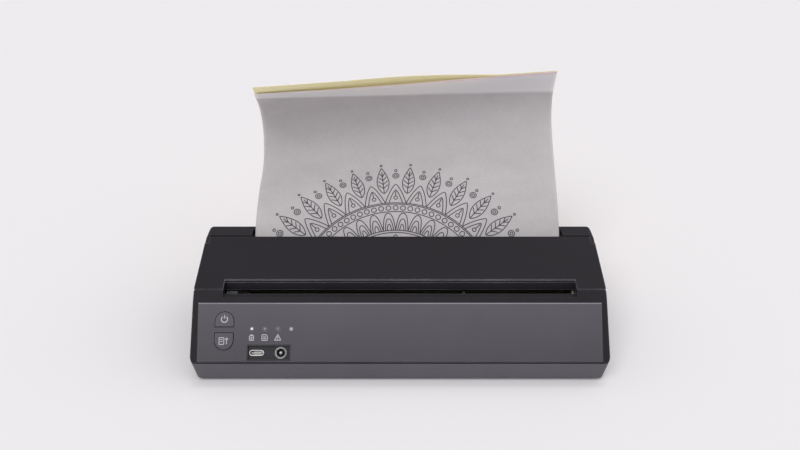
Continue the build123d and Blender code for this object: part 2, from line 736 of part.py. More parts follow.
# === Chassis ==================================================================================
# Two steel plates stand on a tray and carry the roller, the gears, the motor and the head.
tray_top = tray_height + plate_thickness - seam_height
plate_outside = plate_inside + plate_thickness
pivot = on_path(pivot_along, head_face - head_plate - sink_thickness / 2)
motor = (motor_y, motor_z)
platen = (platen_y, platen_z)
near = gear_module * (pinion_teeth + idler_teeth) / 2
far = gear_module * (idler_teeth + platen_teeth) / 2
span = ((platen_y - motor_y) ** 2 + (platen_z - motor_z) ** 2) ** 0.5
line_of_centres = atan2(platen_z - motor_z, platen_y - motor_y)
corner = acos((near ** 2 + span ** 2 - far ** 2) / (2 * near * span))
idler = (motor_y + near * cos(line_of_centres - corner), motor_z + near * sin(line_of_centres - corner))
motor_screw_places = [(motor_y + motor_screw_circle * cos(radians(turn)),
                       motor_z + motor_screw_circle * sin(radians(turn))) for turn in motor_screw_turns]


def add_plate(start, name):
    """One chassis plate: its outline with the holes that bearings, pins and the motor need."""
    with BuildPart() as plate:
        with BuildSketch(side(start)):
            Polygon((tray_front, tray_top - plate_thickness), (tray_rear, tray_top - plate_thickness),
                    (tray_rear, platen_z - plate_heel), (pivot[0] + plate_rim, pivot[1] + plate_rim),
                    (pivot[0] - plate_rim, platen_z + plate_over),
                    (platen_y - plate_over, platen_z + plate_over),
                    (platen_y - plate_step[0], platen_z - plate_step[1]),
                    (platen_y - plate_knee[0], platen_z - plate_knee[1]),
                    (tray_front, motor_z - plate_toe), align=None)
            with Locations(platen):
                Circle(bush_radius + fit, mode=Mode.SUBTRACT)
            with Locations(pivot):
                Circle(pivot_pin_radius + fit, mode=Mode.SUBTRACT)
            if start > 0:
                with Locations(idler):
                    Circle(idler_pin_radius + fit, mode=Mode.SUBTRACT)
                with Locations(motor):
                    Circle(motor_boss_hole, mode=Mode.SUBTRACT)
                with Locations(*motor_screw_places):
                    Circle(small_screw + fit, mode=Mode.SUBTRACT)
        extrude(amount=plate_thickness)
    save(plate.part, name)


add_plate(-plate_outside, "chassis_plate_left")
add_plate(plate_inside, "chassis_plate_right")

column_x = plate_inside - column_inset
tray_columns = [(x, y) for x in (-column_x, column_x)
                for y in (tray_front + column_front, tray_rear - column_rear)]
with BuildPart() as chassis_tray:
    with BuildSketch(level(tray_height)):
        with Locations((0, (tray_front + tray_rear) / 2)):
            Rectangle(2 * plate_inside, tray_rear - tray_front)
    extrude(amount=plate_thickness)
    with BuildSketch(level(tray_height)):
        with Locations(*tray_columns):
            Circle(column_radius)
    extrude(amount=floor_top - tray_height)
save(chassis_tray.part, "chassis_tray")

bush_length = bush_flange + plate_thickness + bush_proud
with BuildPart() as platen_bushes:
    for start, outward in ((-plate_inside, -1), (plate_inside, 1)):
        with BuildSketch(side(start - outward * bush_flange)):
            with Locations(platen):
                Circle(bush_flange_radius)
        extrude(amount=outward * bush_flange)
        with BuildSketch(side(start)):
            with Locations(platen):
                Circle(bush_radius)
        extrude(amount=outward * (bush_length - bush_flange))
    with BuildSketch(side(-half_width)):
        with Locations(platen):
            Circle(shaft_radius + running_fit)
    extrude(amount=case_width, mode=Mode.SUBTRACT)
save(platen_bushes.part, "platen_bushes")

# === Roller and gears =========================================================================
gear_start = plate_outside + gear_gap
with BuildPart() as platen_shaft:
    with BuildSketch(side(-plate_outside - shaft_end)):
        with Locations(platen):
            Circle(shaft_radius)
    extrude(amount=gear_start + gear_width + clip_thickness + clip_gap + plate_outside + shaft_end)
save(platen_shaft.part, "platen_shaft")

with BuildPart() as shaft_clips:
    left_clip = -plate_outside - bush_proud - clip_gap - clip_thickness
    for start in (left_clip, gear_start + gear_width):
        with BuildSketch(side(start)):
            with Locations(platen):
                Circle(shaft_radius + clip_width)
                Circle(shaft_radius, mode=Mode.SUBTRACT)
        extrude(amount=clip_thickness)
save(shaft_clips.part, "shaft_clips")

with BuildPart() as platen_rubber:
    with BuildSketch(side(rubber_left)):
        with Locations(platen):
            Circle(platen_radius)
            Circle(shaft_radius, mode=Mode.SUBTRACT)
    extrude(amount=rubber_right - rubber_left)
save(platen_rubber.part, "platen_rubber")


def gear_corners(centre, teeth, phase):
    """Corners of a spur gear's outline, with one tooth centred on the angle `phase` in radians."""
    pitch = gear_module * teeth / 2
    tip, root = pitch + 0.85 * gear_module, pitch - 1.25 * gear_module
    half = (pi * gear_module / 2 - backlash) / 2
    lean = tan(radians(20))
    at_tip = (half - (tip - pitch) * lean) / tip
    at_root = (half + (pitch - root) * lean) / root
    corners = []
    for tooth in range(teeth):
        middle = phase + 2 * pi * tooth / teeth
        for radius, turn in ((root, -at_root), (tip, -at_tip), (tip, at_tip), (root, at_root)):
            corners.append((centre[0] + radius * cos(middle + turn),
                            centre[1] + radius * sin(middle + turn)))
    return corners


to_idler = atan2(idler[1] - motor[1], idler[0] - motor[0])
to_platen = atan2(platen[1] - idler[1], platen[0] - idler[0])
pinion_phase = to_idler
idler_phase = to_idler + pi + pi / idler_teeth
shift = (to_platen - idler_phase) % (2 * pi / idler_teeth)
platen_phase = to_platen + pi + shift * idler_teeth / platen_teeth + pi / platen_teeth


def add_gear(centre, teeth, phase, bore, name):
    """A gear outside the right chassis plate, with a bore for its shaft or pin."""
    with BuildPart() as gear:
        with BuildSketch(side(gear_start)):
            Polygon(*gear_corners(centre, teeth, phase), align=None)
            with Locations(centre):
                Circle(bore, mode=Mode.SUBTRACT)
        extrude(amount=gear_width)
    save(gear.part, name)


add_gear(platen, platen_teeth, platen_phase, shaft_radius, "platen_gear")
add_gear(idler, idler_teeth, idler_phase, idler_pin_radius + running_fit, "idler_gear")
add_gear(motor, pinion_teeth, pinion_phase, motor_shaft_radius, "motor_pinion")

with BuildPart() as idler_pin:
    with BuildSketch(side(plate_inside)):
        with Locations(idler):
            Circle(idler_pin_radius)
    extrude(amount=gear_start + gear_width + pin_gap + pin_head - plate_inside)
    for start, thickness in ((gear_start + gear_width + pin_gap, pin_head),
                             (plate_outside, gear_gap - pin_gap)):
        with BuildSketch(side(start)):
            with Locations(idler):
                Circle(idler_pin_radius + pin_collar)
        extrude(amount=thickness)
save(idler_pin.part, "idler_pin")

with BuildPart() as motor_body:
    with BuildSketch(side(plate_inside - motor_length)):
        with Locations(motor):
            Circle(motor_radius)
    extrude(amount=motor_length)
    with BuildSketch(side(plate_inside - motor_length)):
        with Locations(motor):
            Circle(motor_shaft_radius + running_fit)
    extrude(amount=motor_length, mode=Mode.SUBTRACT)
    with BuildSketch(side(plate_inside)):
        with Locations(*motor_screw_places):
            Circle(small_screw + fit)
    extrude(amount=-motor_screw_hole, mode=Mode.SUBTRACT)
save(motor_body.part, "motor_body")

with BuildPart() as motor_screws:
    with BuildSketch(side(plate_outside)):
        with Locations(*motor_screw_places):
            Circle(small_head_radius)
    extrude(amount=small_head_height)
    with BuildSketch(side(plate_outside)):
        with Locations(*motor_screw_places):
            Circle(small_screw)
    extrude(amount=-plate_thickness - motor_screw_reach)
save(motor_screws.part, "motor_screws")

with BuildPart() as motor_shaft:
    with BuildSketch(side(plate_inside - motor_length - shaft_stub)):
        with Locations(motor):
            Circle(motor_shaft_radius)
    extrude(amount=gear_start + gear_width + shaft_nose - plate_inside + motor_length + shaft_stub)
save(motor_shaft.part, "motor_shaft")

# === Thermal head =============================================================================
# The head lies along the exit line on the sheet's rear side, on a finned heat sink that tilts
# about pins at its upper end. Springs on a bar behind it press it towards the roller.
sink_face = head_face - head_plate
fin_step = (sink_high - head_low - fin_width) / (fin_count - 1)
with BuildPart() as print_head:
    with BuildSketch(side(head_left)):
        Polygon(on_path(head_low, head_face), on_path(head_high, head_face),
                on_path(head_high, sink_face), on_path(head_low, sink_face), align=None)
    extrude(amount=head_right - head_left)
save(print_head.part, "print_head")

sink_back = sink_face - sink_thickness
fin_starts = [head_low + index * fin_step for index in range(fin_count)]
with BuildPart() as heat_sink:
    with BuildSketch(side(head_left)):
        Polygon(on_path(head_low, sink_face), on_path(sink_high, sink_face),
                on_path(sink_high, sink_back), on_path(head_low, sink_back), align=None)
        for start in fin_starts:
            Polygon(on_path(start, sink_back), on_path(start + fin_width, sink_back),
                    on_path(start + fin_width, sink_back - fin_height),
                    on_path(start, sink_back - fin_height), align=None)
    extrude(amount=head_right - head_left)
    for start in (head_left, head_right - pivot_reach - pivot_bore_room):
        with BuildSketch(side(start)):
            with Locations(pivot):
                Circle(pivot_pin_radius + running_fit)
        extrude(amount=pivot_reach + pivot_bore_room, mode=Mode.SUBTRACT)
save(heat_sink.part, "heat_sink")

with BuildPart() as head_pivot_pins:
    for start, end in ((-plate_outside, head_left + pivot_reach), (head_right - pivot_reach, plate_outside)):
        with BuildSketch(side(start)):
            with Locations(pivot):
                Circle(pivot_pin_radius)
        extrude(amount=end - start)
save(head_pivot_pins.part, "head_pivot_pins")

spring_along = head_low + fin_width + fin_step / 2 - fin_width / 2
with BuildPart() as spring_bar:
    with BuildSketch(side(-plate_inside)):
        Polygon(on_path(head_low, -spring_seat), on_path(head_low + spring_bar_width, -spring_seat),
                on_path(head_low + spring_bar_width, -spring_seat - spring_bar_thickness),
                on_path(head_low, -spring_seat - spring_bar_thickness), align=None)
    extrude(amount=2 * plate_inside)
save(spring_bar.part, "spring_bar")

with BuildPart() as head_springs:
    for x in spring_places:
        foot = on_path(spring_along, -spring_seat)
        seat = Plane(origin=(x, front_y + foot[0], seam_height + foot[1]), x_dir=(1, 0, 0),
                     z_dir=(0, -along_z, along_y))
        with BuildSketch(seat):
            Circle(spring_radius)
            Circle(spring_radius - spring_wire, mode=Mode.SUBTRACT)
        extrude(amount=spring_seat + sink_back - head_swing_room)
save(head_springs.part, "head_springs")

# === Top cover ================================================================================
# A plate that follows the slope of the top, rounded about the hinge axis at its rear edge. Over
# the feed mouth its front is set back as a lip, and at both ends it reaches forward to the strip.
cover_front = strip_end[0] + cover_gap
lean_y, lean_z = sin(radians(cover_angle)), cos(radians(cover_angle))
tangent = (hinge_y - hinge_barrel * lean_y, hinge_z + hinge_barrel * lean_z)
inner = cover_thickness / lean_z
shell_end = hinge_y - barrel_web
skirt_toe, skirt_foot = cover_front + skirt_front, skirt_end - skirt_rear
hollow_front = cover_front + end_web
with BuildPart() as top_cover:
    with BuildSketch(side(-half_width)):
        Polygon((cover_front, cover_top(cover_front)), tangent, (hinge_y, hinge_z),
                (shell_end, cover_top(shell_end) - inner - edge_break),
                (skirt_foot, cover_top(skirt_foot) - skirt_depth),
                (skirt_toe, cover_top(skirt_toe) - skirt_depth), align=None)
    extrude(amount=case_width)
    for end in (0, -1):
        outline = top_cover.faces().filter_by(Axis.X).sort_by(Axis.X)[end].edges()
        chamfer(outline.sort_by(Axis.Z)[-1:] + outline.sort_by(Axis.Y)[:1], edge_break)
    # Hollow underneath, between the two end walls.
    with BuildSketch(side(-inside + cover_gap)):
        Polygon((hollow_front, cover_top(hollow_front) - inner), (shell_end, cover_top(shell_end) - inner),
                (shell_end, 0), (cover_front - clear, 0),
                (hollow_front, cover_top(hollow_front) - skirt_depth), align=None)
    extrude(amount=2 * (inside - cover_gap), mode=Mode.SUBTRACT)
    # The rear ends stand between the raised side walls of the frame.
    for start in (-half_width, inside - cover_gap):
        with BuildSketch(side(start)):
            Polygon((skirt_end, 0), (skirt_end, above), (case_depth, above), (case_depth, 0), align=None)
        extrude(amount=wall + cover_gap, mode=Mode.SUBTRACT)
    with BuildSketch(side(-inside + cover_gap)):
        with Locations((hinge_y, hinge_z)):
            Circle(hinge_barrel)
    extrude(amount=2 * (inside - cover_gap))
    # Set back over the feed mouth, with a turned-down lip.
    with BuildSketch(side(-mouth_half)):
        Polygon((cover_front - clear, 0), (lip_y, 0), (lip_y, above), (cover_front - clear, above),
                align=None)
    extrude(amount=2 * mouth_half, mode=Mode.SUBTRACT)
    with BuildSketch(side(-mouth_half - edge_break)):
        Polygon((lip_y, cover_top(lip_y)), (lip_y + lip_thickness, cover_top(lip_y + lip_thickness)),
                (lip_y + lip_thickness + lip_slant, cover_top(lip_y) - lip_drop),
                (lip_y + lip_slant, cover_top(lip_y) - lip_drop), align=None)
    extrude(amount=2 * (mouth_half + edge_break))
    lip_edge = top_cover.edges().filter_by(Axis.X).sort_by_distance(
        (0, front_y + lip_y, seam_height + cover_top(lip_y)))[0]
    chamfer(lip_edge, lip_edge_break)
    for start in (-inside + cover_gap, inside - cover_gap - hinge_pin_reach):
        with BuildSketch(side(start)):
            with Locations((hinge_y, hinge_z)):
                Circle(hinge_pin_radius + running_fit)
        extrude(amount=hinge_pin_reach, mode=Mode.SUBTRACT)
save(top_cover.part, "top_cover")

with BuildPart() as hinge_pins:
    for start, outward in ((-half_width + hinge_pin_recess, 1), (half_width - hinge_pin_recess, -1)):
        with BuildSketch(side(start)):
            with Locations((hinge_y, hinge_z)):
                Circle(hinge_pin_radius)
        extrude(amount=outward * (wall + hinge_pin_reach - 2 * hinge_pin_recess))
save(hinge_pins.part, "hinge_pins")

# === Paper guides =============================================================================
guide_face = back_face - guide_back
with BuildPart() as exit_guide:
    with BuildSketch(side(-mouth_half)):
        Polygon(on_path(sink_high + guide_low, guide_face), on_path(exit_run - guide_exit, guide_face),
                (rear_bar_front, rear_bar_top - guide_fall),
                (rear_bar_front, rear_bar_top - guide_fall - guide_rear_thickness),
                on_path(exit_run - guide_exit - 1, guide_face - guide_sheet),
                on_path(sink_high + guide_low, guide_face - guide_sheet), align=None)
    extrude(amount=2 * mouth_half)
save(exit_guide.part, "exit_guide")

table_front = (beam_y + table_start[0], table_start[1])
table_rear = (platen_y + table_end[0], platen_z + table_end[1])
table_run = ((table_rear[0] - table_front[0]) ** 2 + (table_rear[1] - table_front[1]) ** 2) ** 0.5
table_y, table_z = (table_rear[0] - table_front[0]) / table_run, (table_rear[1] - table_front[1]) / table_run


def on_table(along, over):
    """A point `along` the feed table from its front edge, and `over` its top face."""
    return (table_front[0] + along * table_y - over * table_z,
            table_front[1] + along * table_z + over * table_y)


flag_along = flag_share * table_run
with BuildPart() as feed_table:
    with BuildSketch(side(-plate_inside)):
        Polygon(on_table(0, 0), on_table(table_run, 0), on_table(table_run, -table_thickness),
                on_table(0, -table_thickness), align=None)
    extrude(amount=2 * plate_inside)
    # The slit that the sensor's flag stands in, and the groove that the side guide runs in.
    with BuildSketch(side(flag_x - flag_width / 2 - 2 * flag_gap)):
        Polygon(on_table(flag_along - slit_front, 1), on_table(flag_along + slit_rear, 1),
                on_table(flag_along + slit_rear, -clear), on_table(flag_along - slit_front, -clear),
                align=None)
    extrude(amount=flag_width + 4 * flag_gap, mode=Mode.SUBTRACT)
    with BuildSketch(side(-plate_inside + guide_front)):
        Polygon(on_table(guide_groove[0], 1), on_table(guide_groove[1], 1),
                on_table(guide_groove[1], -clear), on_table(guide_groove[0], -clear), align=None)
    extrude(amount=guide_width + guide_travel, mode=Mode.SUBTRACT)
save(feed_table.part, "feed_table")

retainer_top = -table_thickness - guide_play
with BuildPart() as paper_guide:
    with BuildSketch(side(-plate_inside + guide_start)):
        Polygon(on_table(guide_front, guide_lift), on_table(guide_rear, guide_lift),
                on_table(guide_rear, guide_lift + guide_height),
                on_table(guide_front, guide_lift + guide_height), align=None)
    extrude(amount=guide_width)
    for (front, rear), low, high in ((guide_neck, retainer_top, guide_lift + guide_height / 2),
                                     (guide_retainer, retainer_top - retainer_thickness, retainer_top)):
        with BuildSketch(side(-plate_inside + guide_start + 1)):
            Polygon(on_table(front, low), on_table(rear, low), on_table(rear, high),
                    on_table(front, high), align=None)
        extrude(amount=guide_width - 2)
save(paper_guide.part, "paper_guide")

flag_pivot = on_table(flag_along, -table_thickness - flag_depth)
holder_left = flag_x - flag_width / 2 - flag_gap - sensor_cheek
holder_width = flag_width + 2 * (flag_gap + sensor_cheek)
holder_low = -table_thickness - flag_depth - sensor_waist
with BuildPart() as sensor_flag:
    with BuildSketch(side(flag_x - flag_width / 2)):
        Polygon(on_table(flag_along - flag_hub, -table_thickness - flag_depth),
                on_table(flag_along - flag_width / 2, flag_rise),
                on_table(flag_along + flag_width / 2, flag_rise),
                on_table(flag_along + flag_hub, -table_thickness - flag_depth), align=None)
        with Locations(flag_pivot):
            Circle(flag_pin + flag_hub)
    extrude(amount=flag_width)
    with BuildSketch(side(holder_left)):
        with Locations(flag_pivot):
            Circle(flag_pin)
    extrude(amount=holder_width)
save(sensor_flag.part, "sensor_flag")

with BuildPart() as paper_sensor:
    for start in (holder_left, holder_left + holder_width - sensor_cheek):
        with BuildSketch(side(start)):
            Polygon(on_table(flag_along - sensor_foot, -table_thickness),
                    on_table(flag_along + sensor_foot, -table_thickness),
                    on_table(flag_along + sensor_waist, holder_low),
                    on_table(flag_along - sensor_waist, holder_low), align=None)
            with Locations(flag_pivot):
                Circle(flag_pin + running_fit, mode=Mode.SUBTRACT)
        extrude(amount=sensor_cheek)
    with BuildSketch(side(holder_left)):
        Polygon(on_table(flag_along - sensor_waist, holder_low),
                on_table(flag_along + sensor_waist, holder_low),
                on_table(flag_along + sensor_waist, holder_low - sensor_floor),
                on_table(flag_along - sensor_waist, holder_low - sensor_floor), align=None)
    extrude(amount=holder_width)
save(paper_sensor.part, "paper_sensor")

# === Battery and main board ===================================================================
cell_z = tray_top + holder_wall + cell_radius
cell_starts = (cell_left, cell_left + cell_length + cell_gap)
with BuildPart() as battery_cells:
    for start in cell_starts:
        with BuildSketch(side(start)):
            with Locations((cell_y, cell_z)):
                Circle(cell_radius)
        extrude(amount=cell_length)
save(battery_cells.part, "battery_cells")

holder_length = 2 * cell_length + cell_gap + 2 * holder_wall
with BuildPart() as battery_holder:
    with BuildSketch(side(cell_left - holder_wall)):
        with Locations((cell_y, tray_top)):
            Rectangle(2 * cell_radius + 2 * holder_wall, cell_radius + holder_wall,
                      align=(Align.CENTER, Align.MIN))
    extrude(amount=holder_length)
    for start in cell_starts:
        with BuildSketch(side(start)):
            with Locations((cell_y, cell_z)):
                Circle(cell_radius)
        extrude(amount=cell_length, mode=Mode.SUBTRACT)
save(battery_holder.part, "battery_holder")

board_level = tray_height + plate_thickness + standoff
board_middle = ((main_board_left + main_board_right) / 2, (main_board_front + main_board_rear) / 2)
board_size = (main_board_right - main_board_left, main_board_rear - main_board_front)
with BuildPart() as main_board:
    with BuildSketch(level(board_level)):
        with Locations(board_middle):
            Rectangle(*board_size)
    extrude(amount=board_thickness)
    with BuildSketch(level(board_level)):
        with Locations(board_middle):
            with GridLocations(board_size[0] - standoff_inset, board_size[1] - standoff_inset, 2, 2):
                Circle(standoff_radius)
    extrude(amount=-standoff)
save(main_board.part, "main_board")

flex_x, flex_y = (main_board_left + main_board_right) / 2, main_board_front + flex_socket_width
chip_level = board_level + board_thickness
with BuildPart() as board_chips:
    with BuildSketch(level(chip_level)):
        for index, size in enumerate(chip_sizes):
            with Locations((main_board_left + chip_first + index * chip_pitch, main_board_rear - chip_back)):
                Rectangle(*size)
        with Locations((flex_x, flex_y)):
            Rectangle(flex_width + flex_bend, flex_socket_width)
    extrude(amount=chip_height)
save(board_chips.part, "board_chips")

flex_start = chip_level + chip_height - seam_height
flex_end = on_path(head_low - flex_gap, head_face - head_plate / 2)
with BuildPart() as head_flex:
    with BuildSketch(side(flex_x - flex_width / 2)):
        with BuildLine():
            FilletPolyline((flex_y, flex_start), (flex_y, flex_end[1] - 1.25 * flex_bend), flex_end,
                           radius=flex_bend)
        trace(line_width=flex_thickness)
    extrude(amount=flex_width)
save(head_flex.part, "head_flex")

# === The sheet ================================================================================
# Each sheet is straight from the nip to the exit, then curls up and back. Its two side edges curl
# differently, and the sheet is ruled between them.
along = (along_y, along_z)


def add_sheet(front_face, more_left, more_right, fan_left, name):
    """A thin sheet between two edge curves, each carried on straight at its end by a little more."""
    back = front_face - sheet_thickness
    with BuildPart() as sheet:
        for x, curl, more, fan in ((sheet_left, left_curl, more_left, fan_left),
                                   (sheet_right, right_curl, more_right, 0.0)):
            near_edge, far_edge = edge_points(curl, front_face, fan), edge_points(curl, back, fan)
            turn = atan2(curl[-1][1] - curl[-2][1], curl[-1][0] - curl[-2][0])
            end = (cos(turn), sin(turn))
            tips = [(y + more * end[0], z + more * end[1]) for y, z in (near_edge[-1], far_edge[-1])]
            with BuildSketch(side(x)):
                with BuildLine():
                    Line(on_path(-sheet_tail, front_face), near_edge[0])
                    Spline(*near_edge, tangents=(along, end))
                    Polyline(near_edge[-1], *tips, far_edge[-1])
                    Spline(*far_edge, tangents=(along, end))
                    Line(far_edge[0], on_path(-sheet_tail, back))
                    Line(on_path(-sheet_tail, back), on_path(-sheet_tail, front_face))
                make_face()
        loft(ruled=True)
    save(sheet.part, name)


add_sheet(sheet_thickness / 2, printed_extra, curl_end, 0.0, "stencil_sheet")
add_sheet(-sheet_thickness / 2 - sheet_spacing, backing_extra, curl_end, backing_fan, "backing_sheet")
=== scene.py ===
import math

import bmesh
import bpy
import numpy as np
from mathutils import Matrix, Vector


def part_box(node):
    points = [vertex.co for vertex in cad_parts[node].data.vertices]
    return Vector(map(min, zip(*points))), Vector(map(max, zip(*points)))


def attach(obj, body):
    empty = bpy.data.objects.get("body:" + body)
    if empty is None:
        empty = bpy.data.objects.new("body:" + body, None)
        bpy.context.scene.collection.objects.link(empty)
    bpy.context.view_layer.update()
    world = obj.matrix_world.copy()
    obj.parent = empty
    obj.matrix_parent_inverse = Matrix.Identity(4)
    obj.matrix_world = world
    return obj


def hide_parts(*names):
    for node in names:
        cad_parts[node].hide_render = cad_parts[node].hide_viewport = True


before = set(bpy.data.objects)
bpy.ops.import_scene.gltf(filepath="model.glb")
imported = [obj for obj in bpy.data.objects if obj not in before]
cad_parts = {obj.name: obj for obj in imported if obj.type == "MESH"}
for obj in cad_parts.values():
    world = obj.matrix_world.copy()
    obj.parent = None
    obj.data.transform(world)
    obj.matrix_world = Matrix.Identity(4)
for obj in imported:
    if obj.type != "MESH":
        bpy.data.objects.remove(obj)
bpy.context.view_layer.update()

# === Studio =====================================================================================
# A seamless pale floor under soft light: two broad lamps, a narrow one overhead and an even sky, together bright enough
# that a colour renders about as it is written. The camera stands in front, looking 33 degrees down.
MM = 0.001


def paint(red, green, blue):
    """A colour written as it looks on a screen, 0 to 255, turned into the renderer's linear light."""
    share = np.array([red, green, blue]) / 255
    linear = np.where(share <= 0.04045, share / 12.92, ((share + 0.055) / 1.055) ** 2.4)
    return (*[float(value) for value in linear], 1.0)


def new_material(name, colour, roughness, **sockets):
    """A material with one Principled shader, its plain values set on the shader's own sockets."""
    material = bpy.data.materials.new(name)
    material.use_nodes = True
    shader = material.node_tree.nodes["Principled BSDF"]
    shader.inputs["Base Color"].default_value = colour
    shader.inputs["Roughness"].default_value = roughness
    for socket, value in sockets.items():
        shader.inputs[socket.replace("_", " ")].default_value = value
    return material, material.node_tree, shader


pale = paint(237, 234, 237)
sky = bpy.data.worlds.new("sky")
sky.use_nodes = True
tree = sky.node_tree
even = tree.nodes["Background"]
even.inputs["Color"].default_value = (1, 1, 1, 1)
even.inputs["Strength"].default_value = 0.5
seen = tree.nodes.new("ShaderNodeBackground")
seen.inputs["Color"].default_value = pale
rays = tree.nodes.new("ShaderNodeLightPath")
shown = tree.nodes.new("ShaderNodeMath")
shown.operation = "MAXIMUM"
tree.links.new(rays.outputs["Is Camera Ray"], shown.inputs[0])
mirrored = tree.nodes.new("ShaderNodeMath")
mirrored.operation = "MAXIMUM"
tree.links.new(rays.outputs["Is Glossy Ray"], mirrored.inputs[0])
tree.links.new(rays.outputs["Is Transmission Ray"], mirrored.inputs[1])
tree.links.new(mirrored.outputs[0], shown.inputs[1])
choice = tree.nodes.new("ShaderNodeMixShader")
tree.links.new(shown.outputs[0], choice.inputs[0])
tree.links.new(even.outputs[0], choice.inputs[1])
tree.links.new(seen.outputs[0], choice.inputs[2])
tree.links.new(choice.outputs[0], tree.nodes["World Output"].inputs["Surface"])
bpy.context.scene.world = sky

floor_half, floor_drop = 4.0, -0.00002
floor_mesh = bpy.data.meshes.new("floor")
floor_mesh.from_pydata([(x * floor_half, y * floor_half, floor_drop)
                        for x, y in ((-1, -1), (1, -1), (1, 1), (-1, 1))], [], [(0, 1, 2, 3)])
floor = bpy.data.objects.new("floor", floor_mesh)
bpy.context.scene.collection.objects.link(floor)
floor_mesh.materials.append(new_material("pale_floor", pale, 1.0, Specular_IOR_Level=0.0)[0])

# Each lamp: its share of the light on the floor, the direction that it stands in, and its spread.
for name, share, towards, spread in (("key_lamp", 0.29, (-0.35, -0.55, 1.0), 40),
                                     ("fill_lamp", 0.145, (0.8, 0.1, 0.9), 70),
                                     ("top_lamp", 0.08, (0.05, 0.3, 1.0), 14)):
    direction = np.array(towards) / np.linalg.norm(towards)
    lamp = bpy.data.lights.new(name, "SUN")
    lamp.energy = share * math.pi / direction[2]
    lamp.angle = math.radians(spread)
    holder = bpy.data.objects.new(name, lamp)
    tilt, turn = math.acos(direction[2]), math.atan2(direction[1], direction[0])
    holder.rotation_euler = (0, tilt, turn)
    bpy.context.scene.collection.objects.link(holder)

eye = bpy.data.cameras.new("camera")
eye.lens, eye.sensor_width = 35.78, 36.0
camera = bpy.data.objects.new("camera", eye)
camera.location = (0, -0.4524, 0.361)
camera.rotation_euler = (math.radians(57), 0, 0)
bpy.context.scene.collection.objects.link(camera)
bpy.context.scene.camera = camera
bpy.context.scene.view_settings.view_transform = "Standard"

# === Lower case =================================================================================
# A shallow tray moulded in dark grey plastic, drawn in towards its underside, with a fine spark
# eroded grain outside and a shadow groove under the seam.
case_grey = paint(96, 93, 100)


def new_group(name, takes, gives):
    """An empty shader group: `takes` are its inputs with their values, `gives` its outputs."""
    group = bpy.data.node_groups.new(name, "ShaderNodeTree")
    for socket, value in takes.items():
        kind = "NodeSocketColor" if isinstance(value, tuple) else "NodeSocketFloat"
        group.interface.new_socket(socket, in_out="INPUT", socket_type=kind).default_value = value
    for socket in gives:
        kind = "NodeSocketColor" if socket == "Colour" else "NodeSocketFloat"
        group.interface.new_socket(socket, in_out="OUTPUT", socket_type=kind)
    return group, group.nodes.new("NodeGroupInput"), group.nodes.new("NodeGroupOutput")


def add_node(tree, kind, settings=None, **inputs):
    """One node: settings are its own properties, and inputs its sockets, as values or as links."""
    node = tree.nodes.new("ShaderNode" + kind)
    for key, value in (settings or {}).items():
        setattr(node, key, value)
    for key, value in inputs.items():
        socket = node.inputs[int(key[1:])] if key[0] == "_" else node.inputs[key.replace("_", " ")]
        if isinstance(value, bpy.types.NodeSocket):
            tree.links.new(value, socket)
        else:
            socket.default_value = value
    return node


def mixed(tree, share, first, second, way="MIX"):
    """The colour between two, or their product, by a share."""
    node = add_node(tree, "Mix", {"data_type": "RGBA", "blend_type": way})
    for index, value in ((0, share), (6, first), (7, second)):
        if isinstance(value, bpy.types.NodeSocket):
            tree.links.new(value, node.inputs[index])
        else:
            node.inputs[index].default_value = value
    return node.outputs[2]


def arithmetic(tree, operation, first, second=0.0, third=0.0):
    """One sum on numbers or sockets."""
    return add_node(tree, "Math", {"operation": operation}, _0=first, _1=second, _2=third).outputs[0]


# Moulded grain: two sizes of noise for the skin, a slow one for handling marks, and the rounded
# normal of every edge against the face's own, which finds the edges that are painted lighter: partly
# wear, partly a painted highlight where an edge catches the light. Ambient occlusion darkens what lies
# deep in a seam or crevice: painted shade.
moulded, given, made = new_group(
    "moulded_skin",
    {"Colour": (0.1, 0.1, 0.1, 1.0), "Worn and highlight colour": (0.3, 0.3, 0.3, 1.0), "Grain per metre": 2600.0,
     "Roughness": 0.5, "Wear and highlight": 0.5, "Crevice shade": 0.45}, ["Colour", "Roughness", "Height"])
place = add_node(moulded, "TexCoord").outputs["Object"]
grain = add_node(moulded, "TexNoise", Vector=place, Scale=given.outputs["Grain per metre"], Detail=2.0)
smudge = add_node(moulded, "TexNoise", Vector=place, Scale=28.0, Detail=3.0, Roughness=0.6)
shape = add_node(moulded, "NewGeometry")
rounded = add_node(moulded, "Bevel", {"samples": 4}, Radius=0.0006)
likeness = add_node(moulded, "VectorMath", {"operation": "DOT_PRODUCT"}, _0=rounded.outputs[0],
                    _1=shape.outputs["Normal"]).outputs["Value"]
edge = add_node(moulded, "MapRange", Value=likeness, From_Min=0.995, From_Max=0.80).outputs[0]
# Edges are painted toward the worn colour: partly wear, partly a painted highlight where they catch the light.
rubbed_and_highlit = arithmetic(moulded, "MULTIPLY", arithmetic(moulded, "MULTIPLY", edge, given.outputs["Wear and highlight"]),
                    smudge.outputs["Fac"])
cloudy = add_node(moulded, "MapRange", Value=smudge.outputs["Fac"], From_Min=0.3, From_Max=0.7,
                  To_Min=0.94, To_Max=1.06).outputs[0]
speckle = add_node(moulded, "MapRange", Value=grain.outputs["Fac"], From_Min=0.3, From_Max=0.7,
                   To_Min=0.93, To_Max=1.07).outputs[0]
# Ambient occlusion darkens crevices and seams: painted shade.
openness = add_node(moulded, "AmbientOcclusion", {"samples": 6}, Distance=0.0016).outputs["AO"]
painted_crevice_shade = add_node(moulded, "MapRange", Value=openness, From_Min=0.25, From_Max=0.85,
                 To_Min=arithmetic(moulded, "SUBTRACT", 1.0, given.outputs["Crevice shade"]), To_Max=1.0).outputs[0]
toned = add_node(moulded, "VectorMath", {"operation": "SCALE"}, _0=given.outputs["Colour"], Scale=arithmetic(
    moulded, "MULTIPLY", arithmetic(moulded, "MULTIPLY", cloudy, speckle), painted_crevice_shade)).outputs[0]
moulded.links.new(mixed(moulded, rubbed_and_highlit, toned, given.outputs["Worn and highlight colour"]), made.inputs["Colour"])
